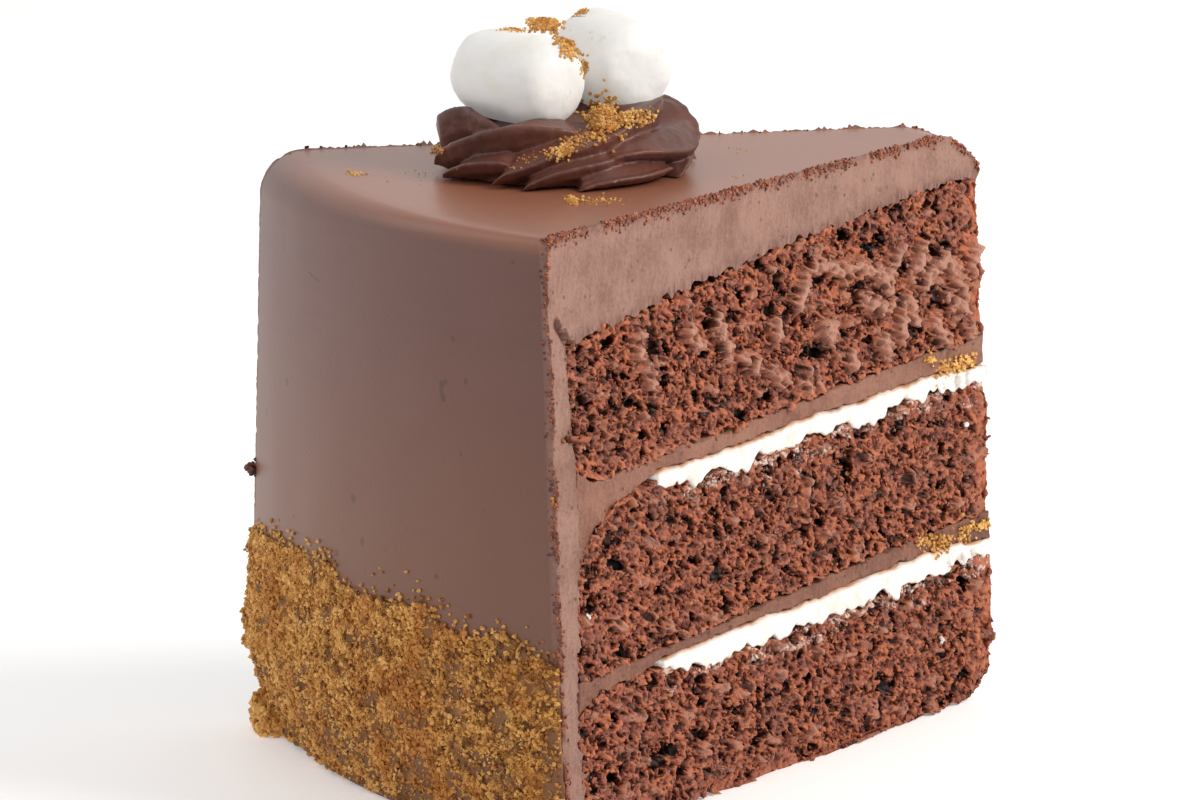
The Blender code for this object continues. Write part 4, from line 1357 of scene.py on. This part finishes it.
# A fold's section round its lip: out and up from the lip, in mm
def foldSection(face, slope):
    return (
        (-11.0, 11.0 * slope - 1.4), (-7.0, 7.0 * slope - 0.6), (-4.0, 3.8 * slope - 0.25), (-2.0, 1.6 * slope - 0.18),
        (-0.95, 0.35 * slope - 0.10), (-0.35, 0.02), (0.0, 0.05), (0.26, -0.12), (0.36, -0.45),
        (0.22, -0.40 - 0.25 * face),
        (-0.05, -0.50 * face - 0.35), (-0.40, -0.85 * face - 0.35), (-1.10, -1.05 * face - 0.45),
        (-2.60, -1.20 * face - 1.0), (-6.0, -1.3 * face - 2.4), (-11.0, -1.3 * face - 3.0),
    )


def rosetteMiddle():
    return Vector((rosette["place"][0] + cake["offset"][0], rosette["place"][1] + cake["offset"][1],
                   cake["height"] + cake["gap"]))


# One fold, swept along its lip and pointed at both ends
def addFold(points, faces, lip, seed):
    lip = np.array(lip, float)
    bearing = np.degrees(np.unwrap(np.radians(lip[:, 0])))
    marks = np.concatenate([[0.0], np.cumsum(np.hypot(np.diff(bearing) * 0.35, np.diff(lip[:, 2])))])
    count = rosette["stations"]
    start = len(points)
    shifts = (-rosette["blend"], 0.0, rosette["blend"])
    for station in range(count):
        at = marks[-1] * station / (count - 1)
        turn, radius, height, face, slope = (sum(np.interp(at + shift, marks, values) for shift in shifts) / 3.0
                                             for values in (bearing, *lip.T[1:]))
        turn = math.radians(turn)
        ends = 0.12 + 0.88 * ease(station / rosette["startRun"]) * ease((count - 1 - station) / rosette["endRun"])
        waver = rosette["waver"][0] * noise.noise(Vector((at / rosette["waver"][1], 3.0 * seed, 0.0)))
        section = foldSection(face, slope)
        for out, up in section:
            r = max(radius + waver + out * (ends if out > -4.0 else 1.0), 0.4)
            z = min(height + up * ends - 0.8 * (1.0 - ends), max(height + 0.3, rosette["highest"]))
            points.append((0.001 * r * math.cos(turn), 0.001 * r * math.sin(turn), 0.001 * max(z, 0.0)))
    ring = len(section)
    for station in range(count - 1):
        for corner in range(ring):
            first, second = start + station * ring + corner, start + station * ring + (corner + 1) % ring
            faces.append((first, second, second + ring, first + ring))
    faces.append(tuple(start + corner for corner in range(ring))[::-1])
    faces.append(tuple(start + (count - 1) * ring + corner for corner in range(ring)))


# Points that a marshmallow covers are pressed out to its skin
def pressPoints(points, nodeName, gap):
    lie, place, size = marshmallowPlace(nodeName)
    turned = (np.array(lie.to_3x3()).T @ (points - np.array(place)).T).T
    power = 2.0 / marshmallowForm["squareness"]
    across = np.hypot(turned[:, 1], turned[:, 2]) / (0.5 * size[0] + gap)
    along = np.abs(turned[:, 0]) / (0.5 * size[1] + gap)
    depth = (across ** power + along ** power) ** (1.0 / power)
    within = depth < 1.0
    turned[within] /= np.maximum(depth[within], 0.2)[:, None]
    return (np.array(lie.to_3x3()) @ turned.T).T + np.array(place)


def makeRosette():
    points, faces = [], []
    for seed, lip in enumerate(folds):
        addFold(points, faces, lip, seed)
    bpy.ops.mesh.primitive_uv_sphere_add(segments=64, ring_count=32, radius=1.0, location=(0.0, 0.0, 0.0))
    piece = bpy.context.object
    piece.name = "piped_rosette"
    wide, tall = rosette["mound"]
    for vert in piece.data.vertices:
        vert.co = (wide * vert.co.x, wide * vert.co.y, tall * max(vert.co.z, 0.0) ** 0.8)
    mesh = bmesh.new()
    mesh.from_mesh(piece.data)
    made = [mesh.verts.new(point) for point in points]
    for corners in faces:
        mesh.faces.new([made[corner] for corner in corners])
    bmesh.ops.recalc_face_normals(mesh, faces=mesh.faces)
    mesh.to_mesh(piece.data)
    mesh.free()
    melt = piece.modifiers.new("melt", "REMESH")
    melt.mode = "VOXEL"
    melt.voxel_size = rosette["voxel"]
    soften = piece.modifiers.new("soften", "SMOOTH")
    soften.factor = rosette["soften"]
    soften.iterations = 2
    applyAll(piece)
    points = readPoints(piece)
    points[:, 2] = np.maximum(points[:, 2], 0.0)
    points += np.array(rosetteMiddle())
    for nodeName in marshmallows:
        points = pressPoints(points, nodeName, 0.00015)
    writePoints(piece, points)
    groupFrom(piece, "all", np.ones(len(points)))
    relief(piece, "rosetteGrain", rosette["grain"], 0.5, group="all")
    applyAll(piece)
    points = readPoints(piece)
    points[:, 2] = np.maximum(points[:, 2], cake["height"] + cake["gap"])
    writePoints(piece, points)
    smooth(piece)
    return piece


# Marshmallows: place from the rosette's foot, diameter and length, and turn in degrees
marshmallows = {
    "marshmallow_left": {"place": (-0.0039, -0.0068, 0.0156), "size": (0.0157, 0.0230), "turn": (0.0, 2.4, 13.6)},
    "marshmallow_right": {"place": (-0.0052, 0.0126, 0.0163), "size": (0.0168, 0.0205), "turn": (0.0, 5.0, 0.0)},
}
marshmallowForm = {"columns": 96, "rows": 64, "squareness": 0.52, "dent": (0.0075, 0.0011), "fine": (0.0018, 0.00020)}


def marshmallowPlace(nodeName):
    sizes = marshmallows[nodeName]
    turnX, turnY, turnZ = (math.radians(value) for value in sizes["turn"])
    lie = Matrix.Rotation(turnZ, 4, "Z") @ Matrix.Rotation(turnY, 4, "Y") @ Matrix.Rotation(turnX, 4, "X")
    place = Vector((rosette["place"][0] + sizes["place"][0] + cake["offset"][0],
                    rosette["place"][1] + sizes["place"][1] + cake["offset"][1], cake["height"] + sizes["place"][2]))
    return lie, place, sizes["size"]


def makeMarshmallow(nodeName, name):
    bpy.ops.mesh.primitive_uv_sphere_add(segments=marshmallowForm["columns"], ring_count=marshmallowForm["rows"],
                                         radius=1.0, location=(0.0, 0.0, 0.0))
    piece = bpy.context.object
    piece.name = name
    points = readPoints(piece)
    lie, place, (diameter, length) = marshmallowPlace(nodeName)
    for number, (x, y, z) in enumerate(points):
        around = math.atan2(y, x)
        wide = math.hypot(x, y) ** marshmallowForm["squareness"]
        tall = math.copysign(abs(z) ** marshmallowForm["squareness"], z)
        points[number] = (0.5 * diameter * wide * math.cos(around), 0.5 * diameter * wide * math.sin(around),
                          0.5 * length * tall)
    writePoints(piece, points)
    piece.data.transform(Matrix.Translation(place) @ lie @ Matrix.Rotation(math.radians(90.0), 4, "Y"))
    groupFrom(piece, "all", np.ones(len(points)))
    relief(piece, name + "Dent", marshmallowForm["dent"], 0.62, group="all")
    relief(piece, name + "Fine", marshmallowForm["fine"], 0.5, group="all")
    applyAll(piece)
    keepInside(piece)
    smooth(piece)
    return piece


rosettePiece = finishPiece(makeRosette(), pipedMaterial, "piped_chocolate", "rosette")
print("rosette made")
marshmallowPieces = [finishPiece(makeMarshmallow(nodeName, nodeName.replace("marshmallow", "soft_marshmallow")),
                                 marshmallowMaterial, "marshmallow", nodeName) for nodeName in marshmallows]
print("marshmallows made")


# The camera's place and lens; the loose golden crumbs are laid from it
view = {"yaw": 59.0, "pitch": 12.09, "roll": -0.50, "aim": (-0.0100564, -0.0077670, 0.0599200),
        "distance": 1.5502, "lens": 270.0, "sensor": 36.0, "frame": (1200.0, 800.0)}


def viewAxes():
    yaw, pitch, roll = (math.radians(view[key]) for key in ("yaw", "pitch", "roll"))
    back = Vector((math.sin(yaw) * math.cos(pitch), -math.cos(yaw) * math.cos(pitch), math.sin(pitch)))
    right = Vector((math.cos(yaw), math.sin(yaw), 0.0))
    up = back.cross(right) if back.cross(right).z > 0 else right.cross(back)
    right, up = math.cos(roll) * right + math.sin(roll) * up, math.cos(roll) * up - math.sin(roll) * right
    return right, up, back


# Heaps: middle, half width and half height in the frame's pixels, slant in degrees, crumbs and their sizes in mm
heaps = (
    (603, 118, 13, 15, 0, 620, (0.14, 0.42)), (630, 120, 18, 6, -10, 330, (0.12, 0.36)),
    (564, 150, 13, 6, -25, 170, (0.10, 0.38)), (587, 137, 16, 6, -15, 120, (0.10, 0.30)),
    (544, 24, 10, 5, 8, 330, (0.14, 0.44)), (516, 30, 12, 2, 3, 90, (0.10, 0.26)),
    (566, 47, 12, 5, 42, 230, (0.12, 0.36)), (584, 67, 3, 7, 0, 80, (0.10, 0.30)),
    (581, 12, 6, 3, -12, 90, (0.10, 0.28)), (573, 201, 7, 4, 5, 60, (0.10, 0.42)),
    (600, 201, 18, 4, 0, 60, (0.08, 0.26)), (437, 150, 5, 3, 0, 40, (0.10, 0.34)),
    (357, 174, 9, 2, 8, 40, (0.08, 0.22)), (420, 175, 30, 8, 0, 16, (0.07, 0.15)),
    (553, 502, 1, 2, 0, 7, (0.15, 0.40)), (737, 177, 6, 2, 0, 9, (0.08, 0.18)),
    (735, 150, 10, 4, 0, 9, (0.08, 0.18)), (530, 158, 16, 6, -20, 22, (0.08, 0.2)),
)
heapForm = {"spread": 0.62, "skyLine": 60, "restBack": -0.005, "restUp": 0.0220, "pile": 0.0012, "pileCount": 200}


def makeHeaps():
    draw = random.Random(77)
    right, up, back = viewAxes()
    eye = Vector(view["aim"]) + view["distance"] * back
    trees = [BVHTree.FromPolygons([vert.co for vert in piece.data.vertices],
                                  [tuple(face.vertices) for face in piece.data.polygons])
             for piece in [rosettePiece, coatPiece] + marshmallowPieces]
    focus = view["lens"] / view["sensor"] * view["frame"][0]
    rest = rosetteMiddle() + Vector((heapForm["restBack"] * back.x, heapForm["restBack"] * back.y, heapForm["restUp"]))
    spots = []
    for x, y, wide, high, slant, count, sizes in heaps:
        turn = math.radians(slant)
        for _ in range(count):
            across, down = (heapForm["spread"] * half * draw.gauss(0.0, 1.0) for half in (wide, high))
            px = x + across * math.cos(turn) - down * math.sin(turn) - 0.5 * view["frame"][0]
            py = y + across * math.sin(turn) + down * math.cos(turn) - 0.5 * view["frame"][1]
            ray = (px / focus * right - py / focus * up - back).normalized()
            hits = [hit for hit in (tree.ray_cast(eye, ray) for tree in trees) if hit[0]]
            size = 0.001 * draw.uniform(*sizes)
            if not hits:
                place = eye + ray * ((rest - eye).dot(back) / ray.dot(back))
                if y < heapForm["skyLine"]:
                    spots.append((place, size))
                continue
            place, normal = min(hits, key=lambda hit: hit[3])[:2]
            middle = math.exp(-(across / wide) ** 2 - (down / high) ** 2)
            pile = heapForm["pile"] * middle * draw.random() if count > heapForm["pileCount"] else 0.0
            spots.append((place + (0.35 * size + pile) * normal, size))
    return layGrains("golden_crumbs", spots, 78)


finishGrains(makeHeaps(), goldenMaterial, "graham_crumbs")


# A dark crumb left on the far edge of the wall
def makeStrays():
    draw = random.Random(5)
    spots = []
    for _ in range(22):
        angle, z = -cake["halfAngle"] + math.radians(draw.uniform(-0.1, 0.4)), 0.0457 + draw.gauss(0.0, 0.0006)
        spots.append((fromCake(cake["radius"] + draw.uniform(-0.0002, 0.0014), angle, z), draw.uniform(0.0003, 0.0007)))
    return layGrains("dark_stray_crumb", spots, 6)


stray = makeStrays()
keepInside(stray)
finishGrains(stray, spongeMaterial, "sponge", (0.35, 0.8))

# Graham crumbs stuck in the fillings near the tip: distance, height and spread in mm, and their number
tipHeaps = (
    (18.7, 63.4, 1.2, 30), (14.2, 61.0, 1.6, 60), (9.6, 60.8, 1.8, 70), (6.5, 61.0, 1.2, 40),
    (21.6, 31.8, 1.6, 50), (17.1, 30.2, 1.8, 80), (9.0, 31.0, 2.0, 60), (3.6, 31.0, 1.0, 70),
)


def makeTipCrumbs():
    draw = random.Random(9)
    spots = []
    for along, z, spread, count in tipHeaps:
        for _ in range(count):
            radius, height = 0.001 * (along + draw.gauss(0.0, spread)), 0.001 * (z + draw.gauss(0.0, 0.5 * spread))
            place = fromCake(max(radius, 0.0026), cake["halfAngle"], height)
            spots.append((place + draw.uniform(0.0, 0.0006) * cutNormal(1), draw.uniform(0.00012, 0.00042)))
    return layGrains("golden_crumbs_at_tip", spots, 10)


# Three flecks of creme that the knife left in the sponges
def makeFlecks():
    draw = random.Random(21)
    spots = []
    for along, z in ((17.8, 13.2), (8.2, 49.9), (119.1, 37.9)):
        for _ in range(4):
            radius, height = 0.001 * (along + draw.gauss(0.0, 0.25)), 0.001 * (z + draw.gauss(0.0, 0.35))
            place = fromCake(radius, cake["halfAngle"], height)
            spots.append((place + 0.0003 * cutNormal(1), draw.uniform(0.0002, 0.00045)))
    return layGrains("marshmallow_cream_flecks", spots, 22)


finishGrains(makeFlecks(), cremeMaterial, "marshmallow_creme")
finishGrains(makeTipCrumbs(), goldenMaterial, "graham_crumbs")
print("loose crumbs made")

for grain in grains:
    bpy.data.objects.remove(grain)


# Floor, light and camera
studio = {
    "floor": 3.0,
    "floorColour": (0.95, 0.945, 0.94),
    "floorGlow": 0.26,
    "floorRoughness": 0.6,
    "glossShare": 0.8,
    "world": (1.0, 0.995, 0.99),
    "worldStrength": 0.60,
    "backdrop": 1.05,
}


def makeFloor():
    bpy.ops.mesh.primitive_plane_add(size=studio["floor"], location=(0.0, 0.6, 0.0))
    floor = bpy.context.object
    floor.name = "table"
    placeInMesh(floor)
    material, tree, shader = newMaterial("pale_table")
    colour = (*studio["floorColour"], 1.0)
    feed(tree, shader, {"Base Color": colour, "Roughness": studio["floorRoughness"],
                        "Emission Color": colour, "Emission Strength": studio["floorGlow"]})
    floor.data.materials.append(material)


makeFloor()
world = bpy.data.worlds.new("studio")
world.use_nodes = True
sky = world.node_tree
soft = feed(sky, sky.nodes["Background"], {"Color": (*studio["world"], 1.0), "Strength": studio["worldStrength"]})
paper = node(sky, "ShaderNodeBackground", {"Color": (1.0, 1.0, 1.0, 1.0), "Strength": studio["backdrop"]})
seen = node(sky, "ShaderNodeLightPath")
bright = mathValue(sky, "MAXIMUM", seen.outputs["Is Camera Ray"],
                   times(sky, seen.outputs["Is Glossy Ray"], studio["glossShare"]))
both = node(sky, "ShaderNodeMixShader", {0: bright, 1: soft.outputs[0], 2: paper.outputs[0]})
sky.links.new(both.outputs[0], sky.nodes["World Output"].inputs["Surface"])
bpy.context.scene.world = world
bpy.context.scene.view_settings.view_transform = "Standard"

# Place, size, strength and colour; each lamp looks at the slice
lamps = {
    "key": {"place": (0.70, 0.55, 0.75), "size": 0.45, "power": 9.0, "colour": (1.0, 0.965, 0.91)},
    "fill": {"place": (-0.60, -0.80, 0.60), "size": 0.9, "power": 2.0, "colour": (1.0, 0.98, 0.97)},
}
for name, lamp in lamps.items():
    bpy.ops.object.light_add(type="AREA", location=lamp["place"])
    light = bpy.context.object
    light.name = name + "_lamp"
    light.data.shape = "DISK"
    light.data.size = lamp["size"]
    light.data.energy = lamp["power"]
    light.data.color = lamp["colour"]
    light.rotation_euler = (Vector((0.0, 0.0, 0.06)) - Vector(lamp["place"])).to_track_quat("-Z", "Y").to_euler()


def makeCamera():
    right, up, back = viewAxes()
    place = Vector(view["aim"]) + view["distance"] * back
    bpy.ops.object.camera_add(location=place)
    camera = bpy.context.object
    camera.name = "view_of_the_slice"
    camera.rotation_euler = Matrix((right, up, back)).transposed().to_euler()
    camera.data.lens = view["lens"]
    camera.data.sensor_width = view["sensor"]
    camera.data.clip_start = 0.01
    bpy.context.scene.camera = camera


makeCamera()
print("stage made")
